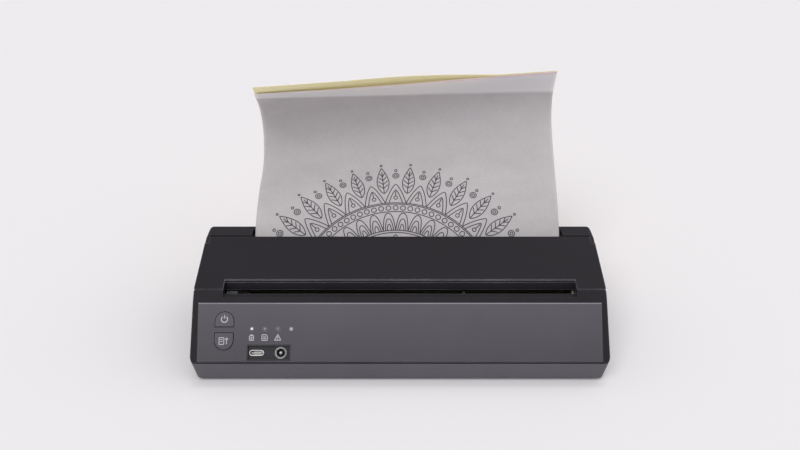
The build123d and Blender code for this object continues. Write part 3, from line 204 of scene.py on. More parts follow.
moulded.links.new(arithmetic(moulded, "MULTIPLY_ADD", smudge.outputs["Fac"], 0.16,
                             arithmetic(moulded, "SUBTRACT", given.outputs["Roughness"], 0.08)),
                  made.inputs["Roughness"])
moulded.links.new(grain.outputs["Fac"], made.inputs["Height"])


def textured(name, group, roughness, bump, depth, outputs=("Base Color", "Roughness"), takes=None,
             **sockets):
    """A material whose colour, roughness and relief come from a group, with its own values."""
    material, tree, shader = new_material(name, (0.5, 0.5, 0.5, 1.0), roughness, **sockets)
    effect = tree.nodes.new("ShaderNodeGroup")
    effect.node_tree = group
    for key, value in (takes or {}).items():
        effect.inputs[key].default_value = value
    for socket in outputs:
        source = {"Base Color": "Colour"}.get(socket, socket)
        tree.links.new(effect.outputs[source], shader.inputs[socket])
    relief = add_node(tree, "Bump", Strength=bump, Distance=depth, Height=effect.outputs["Height"])
    tree.links.new(relief.outputs[0], shader.inputs["Normal"])
    return material


def plastic(name, colour, roughness, worn_and_highlight=None, wear_and_highlight=0.5, grain=2600.0, specular=0.3, bump=0.25,
            crevice_shade=0.45):
    """Moulded plastic in a colour, with its grain, its edges lighter by wear and a painted highlight,
    and painted shade in its seams.
    """
    return textured(name, moulded, roughness, bump, 0.00006,
                    takes={"Colour": colour, "Worn and highlight colour": worn_and_highlight or paint(150, 148, 152), "Wear and highlight": wear_and_highlight,
                           "Grain per metre": grain, "Roughness": roughness, "Crevice shade": crevice_shade},
                    Specular_IOR_Level=specular)


def dress(material, *nodes):
    """Gives CAD nodes their material, in their objects' own slots."""
    for node in nodes:
        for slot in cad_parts[node].material_slots:
            slot.link = "OBJECT"
            slot.material = material


# The lower case's seams, and the groove under its seam, are darkened strongly by painted shade.
dress(plastic("grey_case_plastic", case_grey, 0.5, specular=0.2, crevice_shade=0.95), "lower_case")

# === Feet =======================================================================================
# Four soft rubber discs glued under the corners, dull and slightly dusty.
dress(plastic("foot_rubber", paint(38, 38, 39), 0.85, worn_and_highlight=paint(96, 94, 92), wear_and_highlight=0.8, grain=1800.0),
      "rubber_feet")

# === Chassis ====================================================================================
# Zinc-plated sheet steel: a tray on four columns, with two side plates that hold every axis.
brushed, given, made = new_group(
    "rolled_metal", {"Colour": (0.5, 0.5, 0.5, 1.0), "Along": 60.0, "Across": 2400.0,
                     "Roughness": 0.35}, ["Colour", "Roughness", "Height"])
place = add_node(brushed, "TexCoord").outputs["Object"]
stretch = add_node(brushed, "CombineXYZ", X=given.outputs["Across"], Y=given.outputs["Along"],
                   Z=given.outputs["Across"]).outputs[0]
lines = add_node(brushed, "VectorMath", {"operation": "MULTIPLY"}, _0=place, _1=stretch).outputs[0]
streak = add_node(brushed, "TexNoise", Vector=lines, Scale=1.0, Detail=3.0)
spangle = add_node(brushed, "TexVoronoi", Vector=place, Scale=260.0)
tone = add_node(brushed, "MapRange", Value=spangle.outputs["Color"], From_Min=0.0, From_Max=1.0,
                To_Min=0.86, To_Max=1.08).outputs[0]
brushed.links.new(add_node(brushed, "VectorMath", {"operation": "SCALE"}, _0=given.outputs["Colour"],
                           Scale=tone).outputs[0], made.inputs["Colour"])
brushed.links.new(arithmetic(brushed, "MULTIPLY_ADD", streak.outputs["Fac"], 0.22,
                             arithmetic(brushed, "SUBTRACT", given.outputs["Roughness"], 0.11)),
                  made.inputs["Roughness"])
brushed.links.new(streak.outputs["Fac"], made.inputs["Height"])


def metal(name, colour, roughness, along=60.0, across=2400.0, bump=0.15):
    """Bare or plated metal with the streaks of its rolling or turning."""
    return textured(name, brushed, roughness, bump, 0.00003,
                    takes={"Colour": colour, "Along": along, "Across": across, "Roughness": roughness},
                    Metallic=1.0)


zinc = metal("zinc_plated_steel", paint(196, 196, 194), 0.38)
dress(zinc, "chassis_tray", "chassis_plate_left", "chassis_plate_right", "spring_bar")

# === Battery ====================================================================================
# Two cells in shrink wrap, lying in a moulded holder.
dress(plastic("blue_cell_wrap", paint(58, 110, 150), 0.3, worn_and_highlight=paint(140, 175, 200), wear_and_highlight=0.3,
              grain=900.0, specular=0.5, bump=0.08), "battery_cells")
dress(plastic("black_holder_plastic", paint(34, 34, 36), 0.55), "battery_holder")

# === Circuit boards =============================================================================
# Green glass-fibre boards with copper tracks under the mask; black packages and switches on them.
etched, given, made = new_group("etched_board", {"Colour": (0.0, 0.2, 0.1, 1.0)},
                                ["Colour", "Roughness", "Height"])
place = add_node(etched, "TexCoord").outputs["Object"]
tracks = add_node(etched, "TexVoronoi", {"feature": "F1", "distance": "CHEBYCHEV"}, Vector=place,
                  Scale=330.0)
track = add_node(etched, "MapRange", Value=add_node(etched, "Math", {"operation": "PINGPONG"},
                 _0=tracks.outputs["Distance"], _1=0.09).outputs[0], From_Min=0.04, From_Max=0.055).outputs[0]
lighter = add_node(etched, "VectorMath", {"operation": "SCALE"}, _0=given.outputs["Colour"],
                   Scale=1.7).outputs[0]
etched.links.new(mixed(etched, track, given.outputs["Colour"], lighter), made.inputs["Colour"])
etched.links.new(add_node(etched, "MapRange", Value=track, To_Min=0.42, To_Max=0.3).outputs[0],
                 made.inputs["Roughness"])
etched.links.new(track, made.inputs["Height"])
dress(textured("green_circuit_board", etched, 0.4, 0.3, 0.00003, takes={"Colour": paint(24, 84, 52)}),
      "main_board", "control_board")
dress(plastic("black_package_plastic", paint(30, 30, 32), 0.45, worn_and_highlight=paint(70, 70, 72)), "board_chips",
      "tact_switches", "power_jack", "paper_sensor")
dress(plastic("pale_tongue_plastic", paint(196, 196, 192), 0.35, worn_and_highlight=paint(220, 220, 216)), "usb_tongue")


def cloth_of_quads(rows, columns):
    """Corner numbers of the quads of a grid whose points are numbered row by row."""
    corner = np.arange(rows - 1)[:, None] * columns + np.arange(columns - 1)[None, :]
    return np.stack([corner, corner + 1, corner + columns + 1, corner + columns], -1).reshape(-1, 4)


def add_mesh(name, parts, material, body, smooth=True):
    """A piece made of shells, each given as points in metres and quads, riding on a body. Points that
    coincide at seams and poles are merged, and the faces turned outwards."""
    points = np.concatenate([points for points, quads in parts])
    starts = np.cumsum([0] + [len(points) for points, quads in parts[:-1]])
    quads = np.concatenate([quads + start for start, (points_, quads) in zip(starts, parts)])
    mesh = bpy.data.meshes.new(name)
    mesh.from_pydata(points.tolist(), [], quads.tolist())
    shape = bmesh.new()
    shape.from_mesh(mesh)
    bmesh.ops.remove_doubles(shape, verts=shape.verts, dist=2e-8)
    bmesh.ops.recalc_face_normals(shape, faces=shape.faces)
    shape.to_mesh(mesh)
    shape.free()
    mesh.polygons.foreach_set("use_smooth", np.full(len(mesh.polygons), smooth))
    mesh.materials.append(material)
    mesh.update()
    piece = bpy.data.objects.new(name, mesh)
    bpy.context.scene.collection.objects.link(piece)
    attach(piece, body)
    return piece


def slab(front, back):
    """A closed shell between two grids of points: both faces, and the rims that join them."""
    rows, columns = front.shape[:2]
    points = np.concatenate([front.reshape(-1, 3), back.reshape(-1, 3)])
    face = cloth_of_quads(rows, columns)
    number = np.arange(rows * columns).reshape(rows, columns)
    rims = [np.stack([b[1:], b[:-1], b[:-1] + rows * columns, b[1:] + rows * columns], -1)
            for b in (number[:, 0][::-1], number[:, -1], number[0], number[-1][::-1])]
    return points, np.concatenate([face, face[:, ::-1] + rows * columns, *rims])


def turned(profile, foot, axis, side, count=40):
    """A turned solid: a profile of radii and heights, closed on its axis at both ends, carried round:
    place = foot + height * axis + radius * (cos t * side + sin t * axis x side)."""
    axis, side = (np.array(way) / np.linalg.norm(way) for way in (axis, side))
    turn = np.linspace(0, 2 * np.pi, count + 1)[None, :, None]
    radius, height = np.array(profile).T[..., None, None] * MM
    points = foot + height * axis + radius * (np.cos(turn) * side + np.sin(turn) * np.cross(axis, side))
    return points.reshape(-1, 3), cloth_of_quads(len(profile), count + 1)


def boxed(profile, foot, half_x, half_y):
    """A square-cut solid standing on the board: the profile gives shares of its half sides and
    heights, and four corners are carried round as a turned solid's places are."""
    points, quads = turned([(share * math.sqrt(2), height) for share, height in profile], np.zeros(3),
                           (0, 0, 1), (1, 1, 0), 4)
    return points * (half_x, half_y, 1) + foot, quads


def wire_along(path, radius, upright, sides=10):
    """A round wire: at each place of the path a ring of points at `radius` about it, square to its
    heading, and both ends drawn together to a point."""
    heading = np.gradient(path, axis=0)
    heading = heading / np.linalg.norm(heading, axis=1, keepdims=True)
    aside = np.cross(heading, upright)
    aside = aside / np.linalg.norm(aside, axis=1, keepdims=True)
    above = np.cross(aside, heading)
    turn = np.linspace(0, 2 * np.pi, sides + 1)[None, :, None]
    ring = np.cos(turn) * aside[:, None] + np.sin(turn) * above[:, None]
    points = np.concatenate([np.repeat(path[:1, None], sides + 1, 1), path[:, None] + radius * ring,
                             np.repeat(path[-1:, None], sides + 1, 1)])
    return points.reshape(-1, 3), cloth_of_quads(len(points), sides + 1)


# The main board's parts: two wafer connectors open to the rear of the case, four can capacitors
# with a rim rolled over their sleeve, and the bent leads of the chips.
board_top, lead_metal = 0.0108, metal("tinned_lead", paint(214, 214, 212), 0.25)
cavity = [(0, 0.0), (1, 0.0), (1, 5.4), (0.96, 5.6), (0.9, 5.6), (0.86, 5.4), (0.86, 1.2), (0, 1.2)]
can = [(0, 0.0), (0.98, 0.0), (1.0, 0.15), (1.0, 0.7), (0.92, 0.85), (0.92, 1.05), (1.0, 1.2), (1.0, 5.6),
       (0.95, 5.85), (0.84, 5.9), (0.8, 5.8), (0, 5.8)]
sockets = [boxed(cavity, (x, -0.0245, board_top), half, 2.9) for x, half in ((-0.0850, 6.2), (-0.0660, 8.2))]
add_mesh("board_sockets", sockets, plastic("ivory_socket_nylon", paint(226, 218, 196), 0.4,
                 worn_and_highlight=paint(240, 234, 220)), "case", smooth=False)
pins = [wire_along(np.array([[x + step * 0.002, -0.0245, z] for z in (0.0115, 0.0135, 0.0158)]), 0.0003,
                   (0, 1, 0), 8) for x, count in ((-0.0850, 5), (-0.0660, 7))
        for step in np.arange(count) - (count - 1) / 2]
leads = []
for x, y, half_x, half_y, sides in ((-50, -6.42, 6, 6, 4), (-20, -6.42, 4, 3, 2), (10, -6.42, 4, 3, 2),
                                    (40, -6.42, 4, 4, 4)):
    for turn in range(4 if sides == 4 else 2):
        across, reach = (half_x, half_y) if turn % 2 == 0 or sides == 2 else (half_y, half_x)
        angle = math.pi / 2 * (turn if sides == 4 else 2 * turn)
        way = np.array([math.sin(angle), -math.cos(angle)])
        aside = np.array([math.cos(angle), math.sin(angle)])
        for step in np.arange(-across + 0.8, across - 0.7, 0.8):
            bend = [(reach - 0.3, 0.8), (reach + 0.35, 0.78), (reach + 0.55, 0.2), (reach + 1.1, 0.12)]
            leads.append(wire_along(np.array([[*(np.array([x, y]) + aside * step + way * out) * MM,
                                               board_top + height * MM] for out, height in bend]), 0.00014,
                                    (*aside, 0.0), 6))
add_mesh("leads_and_pins", pins + leads, lead_metal, "case", smooth=False)
cans = [turned([(radius * size, height) for radius, height in can], np.array([x * MM, y * MM, board_top]),
               (0, 0, 1), (1, 0, 0), 28)
        for x, y, size in ((-86, -6, 3.1), (-77, -6, 3.1), (52, -9, 2.5), (52, -17, 2.5))]
add_mesh("can_capacitors", cans, plastic("black_can_sleeve", paint(38, 42, 60), 0.3,
                 worn_and_highlight=paint(190, 190, 192), wear_and_highlight=1.2, specular=0.5), "case")

# === Motor and gears ============================================================================
# A can motor on the right plate drives the roller through a brass pinion and two acetal gears.
steel = metal("turned_steel", paint(200, 200, 202), 0.28, along=2400.0, across=60.0)
dress(steel, "motor_body", "motor_shaft", "motor_screws", "idler_pin", "platen_shaft", "shaft_clips",
      "head_pivot_pins", "hinge_pins", "board_screws")
brass = metal("turned_brass", paint(214, 178, 104), 0.3)
dress(brass, "motor_pinion")
dress(plastic("ivory_acetal", paint(222, 216, 200), 0.38, worn_and_highlight=paint(236, 232, 220), grain=1500.0,
              specular=0.5, bump=0.1), "platen_gear", "idler_gear", "platen_bushes")

# The motor's left end: a nylon cap pressed into the can, with two brass tabs for its leads.
motor_axis = np.array([0.0, -0.04742, 0.022])
cap = [(1.25, 0.0), (10.4, 0.0), (10.4, 0.5), (9.9, 1.0), (4.2, 1.0), (3.6, 1.9), (1.5, 1.9), (1.25, 1.7),
       (1.25, 0.0)]
nylon = plastic("white_nylon", paint(226, 224, 218), 0.4, worn_and_highlight=paint(240, 238, 232), specular=0.5)
add_mesh("motor_end_cap", [turned(cap, motor_axis + (0.0955, 0, 0), (-1, 0, 0), (0, 1, 0))], nylon,
                 "case")
tabs = []
for side in (-1, 1):
    line = np.array([[0.0947, side * 0.0068, -0.0003], [0.0930, side * 0.0068, 0.0002],
                     [0.0915, side * 0.0070, 0.0008], [0.0898, side * 0.0078, 0.0010]]) + motor_axis
    strip = np.stack([line - (0, 0, 0.0012), line + (0, 0, 0.0012)], 1)
    tabs.append(slab(strip + (0, 0.0002, 0), strip - (0, 0.0002, 0)))
add_mesh("motor_tabs", tabs, brass, "case", smooth=False)

# === Roller =====================================================================================
# Ground silicone rubber on a steel shaft: dark, soft and matt, with fine rings from the grinding.
dress(plastic("ground_silicone", paint(52, 52, 55), 0.7, worn_and_highlight=paint(90, 90, 92), grain=3200.0),
      "platen_rubber")

# === Thermal head ===============================================================================
# A glazed ceramic bar on an extruded aluminium heat sink that tilts about two pins.
dress(plastic("glazed_ceramic", paint(104, 98, 88), 0.2, worn_and_highlight=paint(150, 144, 132), grain=400.0,
              specular=0.5, bump=0.05), "print_head")
dress(metal("extruded_aluminium", paint(164, 166, 170), 0.42, along=2400.0, across=40.0), "heat_sink")
dress(plastic("amber_flat_cable", paint(176, 108, 40), 0.35, worn_and_highlight=paint(206, 150, 90), grain=600.0,
              specular=0.5, bump=0.05), "head_flex")


def coil_spring(foot, axis, height, mean_radius, wire, turns, steps=24):
    """A compression spring: a round wire carried along a helix whose pitch closes at both ends."""
    share = np.linspace(0, 1, int(turns * steps) + 1)[:, None]
    closing = share - np.sin(2 * np.pi * share) / (2 * np.pi) * 0.55
    turn = share * turns * 2 * np.pi
    side = np.array([1.0, 0.0, 0.0])
    outward = np.cos(turn) * side + np.sin(turn) * np.cross(axis, side)
    path = foot + outward * mean_radius + (wire + closing * (height - 2 * wire)) * axis
    return wire_along(path, wire, axis)


# The glazed line that heats, and the resin over the driver chips, lie along the head's face. Places
# here are in metres along the exit line from the nip, and out from it towards the roller.
nip = np.array([-0.018293, 0.034056])
lean = 0.750465
way_out, to_roller = (np.array([math.cos(lean), math.sin(lean)]), np.array([-math.sin(lean), math.cos(lean)]))


def on_head(x, along, out):
    """Places on the head's face: nip + along * way out + out * way to the roller."""
    spot = nip + along[..., None] * way_out + out[..., None] * to_roller
    return np.stack([x + 0 * along, spot[..., 0], spot[..., 1]], -1)


def ridge(start, end, along, half, height, count):
    """A long low bead on the head: height * (1 - q ** 2) across its width, drawn down at both ends."""
    x, q = np.meshgrid(np.linspace(start, end, count), np.linspace(-1, 1, 9), indexing="ij")
    fall = np.clip(np.minimum(x - start, end - x) / (2 * half), 0, 1) ** 0.5
    return slab(on_head(x, along + q * half, -0.0011 + height * (1 - q ** 2) * fall),
                on_head(x, along + q * half, -0.00112 + 0 * q))


add_mesh("heating_line", [ridge(-0.1015, 0.1105, 0.0, 0.0006, 0.00006, 120)],
                 plastic("brown_glaze", paint(92, 60, 44), 0.15, worn_and_highlight=paint(130, 96, 76), specular=0.6,
                         grain=700.0, bump=0.03), "head")
resin = [ridge(-0.0950 + step * 0.0345, -0.0950 + step * 0.0345 + 0.030, -0.0056, 0.0013, 0.0006, 40)
         for step in range(6)]
add_mesh("driver_resin", resin, plastic("black_resin", paint(24, 24, 26), 0.35, specular=0.4),
                 "head")

# Three springs stand on the bar behind the head. Each CAD solid is a plain tube in their place.
spring_low, spring_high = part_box("head_springs")
press = np.array([0.0, *to_roller])
coils = []
for x in (-0.060, 0.0045, 0.069):
    centre = np.array([x, (spring_low.y + spring_high.y) / 2, (spring_low.z + spring_high.z) / 2])
    coils.append(coil_spring(centre - press * 0.00275, press, 0.0055, 0.0023, 0.0003, 4.5))
springs = add_mesh("coil_springs", coils, steel, "case")
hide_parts("head_springs")

# === Guides =====================================================================================
# Moulded guides lead the original in and the sheet out, with a sliding edge guide and a sensor flag.
dark_guide = plastic("dark_guide_plastic", paint(26, 26, 28), 0.5, worn_and_highlight=paint(70, 70, 72), specular=0.15)
dress(dark_guide, "feed_table", "exit_guide")
dress(plastic("grey_guide_plastic", paint(58, 56, 60), 0.45), "paper_guide")
dress(plastic("black_flag_plastic", paint(26, 26, 28), 0.4), "sensor_flag")

# === Upper frame ================================================================================
# The dark upper case: side cheeks, the strip over the panel, the feed mouth and the rear bar.
# Its edges are painted lighter, partly by wear and partly as a painted highlight, and its seams darker by painted
# shade.
dark_case = plastic("dark_case_plastic", paint(38, 36, 40), 0.55, worn_and_highlight=paint(96, 94, 100), wear_and_highlight=1.0,
                    specular=0.1, crevice_shade=0.6)
dress(dark_case, "upper_frame")

# === Top cover ==================================================================================
# The hinged cover is moulded in the same dark plastic. Its edges carry a strong painted highlight, and the
# front face of its long lip is painted twice as bright: painted light on a face that looks forward and down.
cover_plastic = plastic("dark_cover_plastic", paint(38, 36, 40), 0.55, worn_and_highlight=paint(160, 158, 166), wear_and_highlight=1.4,
                        specular=0.1, crevice_shade=0.2)
tree = cover_plastic.node_tree
base = tree.nodes["Principled BSDF"].inputs["Base Color"]
place = add_node(tree, "SeparateXYZ", Vector=add_node(tree, "TexCoord").outputs["Object"]).outputs
# Everything forward of the lip's upper edge, its front face, has its colour doubled: painted light.
lip_painted_light = arithmetic(tree, "MULTIPLY", arithmetic(tree, "LESS_THAN", arithmetic(tree, "ABSOLUTE", place["X"]), 0.1137),
                    add_node(tree, "MapRange", Value=place["Y"], From_Min=-0.0380, From_Max=-0.0384).outputs[0])
tree.links.new(add_node(tree, "VectorMath", {"operation": "SCALE"}, _0=base.links[0].from_socket, Scale=arithmetic(
    tree, "MULTIPLY_ADD", lip_painted_light, 1.0, 1.0)).outputs[0], base)
dress(cover_plastic, "top_cover")

# === Front panel ================================================================================
# A separate sloping panel in a warmer grey, snapped over the control board: two keys, three lamps
# with printed marks under them, a reset pin, and a bay with the two sockets.
panel_foot, panel_slope = np.array([-0.080417, 0.016]), math.radians(45)


def paint_slope_light(material, low=0.0137, high=0.0428, less=0.82, more=1.22, rim=1.0):
    """Paints light onto a plastic's colour: darker towards the foot of the slope and lighter towards its
    top, as painted light falling off down the slope, and multiplied by `rim` over the last half
    millimetre at the top, as a painted highlight along the top edge."""
    tree = material.node_tree
    base = tree.nodes["Principled BSDF"].inputs["Base Color"]
    height = add_node(tree, "SeparateXYZ", Vector=add_node(tree, "TexCoord").outputs["Object"]).outputs["Z"]
    share = add_node(tree, "MapRange", Value=height, From_Min=low, From_Max=high, To_Min=less,
                     To_Max=more).outputs[0]
    painted_rim_highlight = add_node(tree, "MapRange", Value=height, From_Min=high - 0.0004, From_Max=high - 0.0001,
                          To_Min=1.0, To_Max=rim).outputs[0]
    tree.links.new(add_node(tree, "VectorMath", {"operation": "SCALE"}, _0=base.links[0].from_socket,
                            Scale=arithmetic(tree, "MULTIPLY", share, painted_rim_highlight)).outputs[0], base)
    return material


# The panel and the keys are painted darker towards the foot of the slope and lighter towards the top: painted light.
# The panel's top edge carries a painted highlight, its other edges are lighter by wear and painted highlight, and its
# seams are darkened by painted shade.
panel_grey = paint(80, 77, 84)
dress(paint_slope_light(plastic("grey_panel_plastic", panel_grey, 0.5, worn_and_highlight=paint(150, 148, 154), wear_and_highlight=0.9,
                            specular=0.2, crevice_shade=0.8), rim=2.3), "front_panel")
dress(paint_slope_light(plastic("grey_key_plastic", paint(84, 81, 88), 0.45, worn_and_highlight=paint(150, 148, 154),
                            wear_and_highlight=0.8, specular=0.2, crevice_shade=0.6)), "power_button", "feed_button")
dress(plastic("grey_bezel_plastic", paint(44, 42, 47), 0.5, specular=0.2), "port_bezel")
dress(plastic("light_key_plastic", paint(176, 174, 178), 0.35), "reset_button")
dress(plastic("smoked_light_guide", paint(46, 44, 49), 0.25, specular=0.5, grain=700.0, bump=0.05),
      "light_pipes")
dress(plastic("yellow_lamp_chip", paint(220, 206, 120), 0.4), "status_leds")


def on_panel(across, up, out):
    """Places on the slope: `up` it from its foot, and `out` square to its face."""
    return np.stack([across, panel_foot[0] + up * np.cos(panel_slope) - out * np.sin(panel_slope),
                     panel_foot[1] + up * np.sin(panel_slope) + out * np.cos(panel_slope)], -1)


def inked(line, width, onto, low, high):
    """A stroke of ink on a surface: the flat line widened by half of `width` to each side, laid on
    with `onto`, and closed between two heights over it."""
    way = np.gradient(line, axis=0)
    way = way / np.maximum(np.linalg.norm(way, axis=1, keepdims=True), 1e-9)
    aside = np.stack([-way[:, 1], way[:, 0]], -1) * width / 2
    flat = np.stack([line + aside, line - aside], 1)
    return slab(onto(flat, high), onto(flat, low))


def polygon(*corners, steps=6):
    """A flat line through corners, with a few places on each side so that its turns stay sharp."""
    corners = np.array(corners, float)
    share = np.linspace(0, 1, steps)[:, None]
    return [start + (end - start) * share for start, end in zip(corners[:-1], corners[1:])]


def arc(radius, start, end, count=28):
    """Flat places round a circle between two angles, counted from the top to the right."""
    turn = np.radians(np.linspace(start, end, count))
    return [np.stack([radius * np.sin(turn), radius * np.cos(turn)], -1)]


# Marks in millimetres about their middles: for switching on, for feeding a sheet, and under the
# lamps for the battery, for a sheet in the feed and for a fault.
power_mark = arc(1.95, 38, 322) + polygon((0, 0.5), (0, 2.7))
feed_mark = (polygon((-2.6, 2.1), (-2.6, -2.1), (0.4, -2.1), (0.4, 2.1), (-2.6, 2.1)) + polygon((-1.8, 0.9), (
    -0.4, 0.9)) + polygon((-1.8, -0.3), (-0.4, -0.3)) + polygon((2.1, -2.0), (2.1, 2.0)) + polygon(
    (1.2, 0.9), (2.1, 2.1), (3.0, 0.9)))
battery_mark = polygon((-1.3, -1.7), (1.3, -1.7), (1.3, 1.2), (-1.3, 1.2), (-1.3, -1.7)) + polygon(
    (-0.6, 1.75), (0.6, 1.75)) + polygon((-0.7, -0.8), (0.7, -0.8)) + polygon((-0.7, 0.1), (0.7, 0.1))
sheet_mark = polygon((-1.7, -1.7), (1.7, -1.7), (1.7, 0.9), (0.8, 1.8), (-1.7, 1.8), (-1.7, -1.7)) + polygon(
    (-0.9, -0.6), (0.9, -0.6)) + polygon((-0.9, 0.4), (0.9, 0.4))
fault_mark = polygon((-2.0, -1.6), (2.0, -1.6), (0, 2.0), (-2.0, -1.6)) + polygon((0, 0.9), (0, -0.3)) + arc(
    0.14, 0, 360, 8)
fault_mark[-1] = fault_mark[-1] + (0, -0.9)
ink = plastic("white_ink", paint(190, 189, 194), 0.6, worn_and_highlight=paint(120, 118, 124), wear_and_highlight=0.0, grain=900.0,
              crevice_shade=0.0, bump=0.05)
for name, lines, x, up, out, width, body in (
        ("power_key_mark", power_mark, -111.4, 27.3, 0.9, 0.62, "power_key"),
        ("feed_key_mark", feed_mark, -111.6, 13.6, 0.9, 0.5, "feed_key"),
        ("battery_mark", battery_mark, -93.9, 15.8, 0.4, 0.5, "case"),
        ("sheet_mark", sheet_mark, -85.6, 15.8, 0.4, 0.5, "case"),
        ("fault_mark", fault_mark, -77.3, 15.8, 0.4, 0.5, "case")):
    def on_face(flat, lift):
        """The mark's flat places on the face that carries it."""
        return on_panel(flat[..., 0], flat[..., 1], out * MM + lift)

    add_mesh(name, [inked((line + (x, up)) * MM, width * MM, on_face, -0.00001, 0.00003)
                            for line in lines], ink, body, smooth=False)


# A small clear dome stands in the middle of each light guide. The first is painted near white, a painted
# glow for a lit lamp that emits no light; the other two are grey.
slope_out = np.array([0, -math.sin(panel_slope), math.cos(panel_slope)])
dome = [(0, -0.1), (0.85, -0.1), (0.85, 0.02), (0.78, 0.14), (0.6, 0.24), (0.32, 0.3), (0, 0.32)]
for number, (x, shade) in enumerate(((-93.9, paint(236, 236, 240)), (-85.6, paint(120, 118, 124)),
                                     (-77.3, paint(112, 110, 116)))):
    lens = plastic("lamp_dome_%d" % number, shade, 0.2, worn_and_highlight=shade, wear_and_highlight=0.0, specular=0.5, grain=500.0,
                   bump=0.03)
    add_mesh("lamp_dome_%d" % number, [turned(dome, on_panel(*np.array([x, 21.3, 0.4]) * MM),
                     slope_out, (1, 0, 0), 28)], lens, "case")

# The sockets' bright metal: a sleeve, a pin and a collar in the power socket, and a rolled rim round
# the mouth of the other.
bay_up, jack_x, slot_x = 6.3, -75.2, -90.4
bright = metal("nickel_plated_contact", paint(140, 140, 139), 0.3, along=1200.0, across=1200.0)
dress(bright, "usb_port")
jack_floor = on_panel(*np.array([jack_x, bay_up, -5.6]) * MM)
sleeve = [(2.65, 0.02), (3.08, 0.02), (3.08, 5.0), (2.95, 5.1), (2.75, 5.1), (2.65, 4.95), (2.65, 0.02)]
pin = [(0, 0.02), (1.04, 0.02), (1.04, 5.15), (0.9, 5.28), (0.5, 5.34), (0, 5.36)]
collar = [(3.15, 5.1), (3.7, 5.1), (3.7, 5.3), (3.6, 5.4), (3.25, 5.4), (3.15, 5.3), (3.15, 5.1)]
add_mesh("power_socket_metal", [turned(outline, jack_floor, slope_out, (1, 0, 0))
                                        for outline in (sleeve, pin, collar)], bright, "case")


def on_bay(flat, lift):
    """Flat places about the middle of the flat socket, on the slope."""
    return on_panel(slot_x * MM + flat[..., 0], bay_up * MM + flat[..., 1], lift)


turn = np.radians(np.concatenate([np.linspace(-90, 90, 14), np.linspace(90, 270, 14), [270]]))
reach = np.where(np.arange(29) < 14, 2.84, -2.84)
reach[-1] = 2.84
rim_line = np.stack([reach + 1.6 * np.cos(turn), 1.6 * np.sin(turn)], -1) * MM
add_mesh("socket_rim", [inked(rim_line, 0.00045, on_bay, -0.0012, -0.00025)], bright, "case",
                 smooth=False)

# === Case screws ================================================================================
# Four self-tapping screws with a pan head and a cross recess, sunk in the underside, join the two
# halves of the case.


def cross_screw(x, y, head_low=2.2, seat=4.2, tip=21.5, head=2.7, core=1.12, thread=0.32, pitch=1.15):
    """One screw, from its head's middle round to its tip, as rings of places in millimetres. The head's
    face is a fourth-power dome with a cross sunk in it; the thread's radius is the core plus a
    triangle wave of height less turn, fading at both ends."""
    face = np.linspace(0, head - 0.25, 30)
    shank = np.linspace(seat, tip - 1.6, 110)
    radius = np.concatenate([face, [head - 0.06, head, head, core], np.full(110, core), [core * 0.5, 0]])
    height = np.concatenate([head_low + 0.5 * (face / head) ** 4, [head_low + 0.5, head_low + 0.8, seat, seat],
                             shank, [tip - 0.5, tip]])
    turn = np.linspace(0, 2 * np.pi, 49)
    radius, height = radius[:, None] + 0 * turn, height[:, None] + 0 * turn
    across, up = radius * np.cos(turn), radius * np.sin(turn)
    arms = [np.clip((0.42 - np.abs(a)) / 0.12, 0, 1) * np.clip((1.55 - np.abs(b)) / 0.2, 0, 1)
            for a, b in ((across, up), (up, across))]
    height[:30] += 1.1 * np.maximum(*arms)[:30]
    body = slice(34, 144)
    wave = np.abs((height[body] / pitch - turn / (2 * np.pi)) % 1 - 0.5) * 2
    fade = np.clip((height[body] - seat) / 1.5, 0, 1) * np.clip((tip - 1.6 - height[body]) / 1.5, 0.2, 1)
    radius[body] += thread * np.clip(wave * 1.6 - 0.6, 0, 1) * fade
    points = np.stack([x + radius * np.cos(turn), y + radius * np.sin(turn), height], -1) * MM
    return points.reshape(-1, 3), cloth_of_quads(*radius.shape)


screws = add_mesh("cross_head_screws", [cross_screw(x, y) for x in (-122, 122) for y in (-67.417, 1.583)],
                  metal("black_zinc_screw", paint(128, 128, 132), 0.35), "case")
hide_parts("case_screws")

# === Sheets =====================================================================================
# A printed tissue sheet and its yellow backing leave the slot together and curl up and forward.
case_front, seam = -0.080417, 0.016
exit_run, tail = 0.0306, 0.004
sheet_left, sheet_width = -0.100, 0.210
left_curl = np.array(((16, 12), (39, 20.5), (60, 29), (68.5, 46), (62.5, 68), (48.5, 83))) * MM
right_curl = np.array(((14, 13.4), (34, 27.5), (54, 41.5), (70, 56), (75.5, 72), (69, 90.5))) * MM


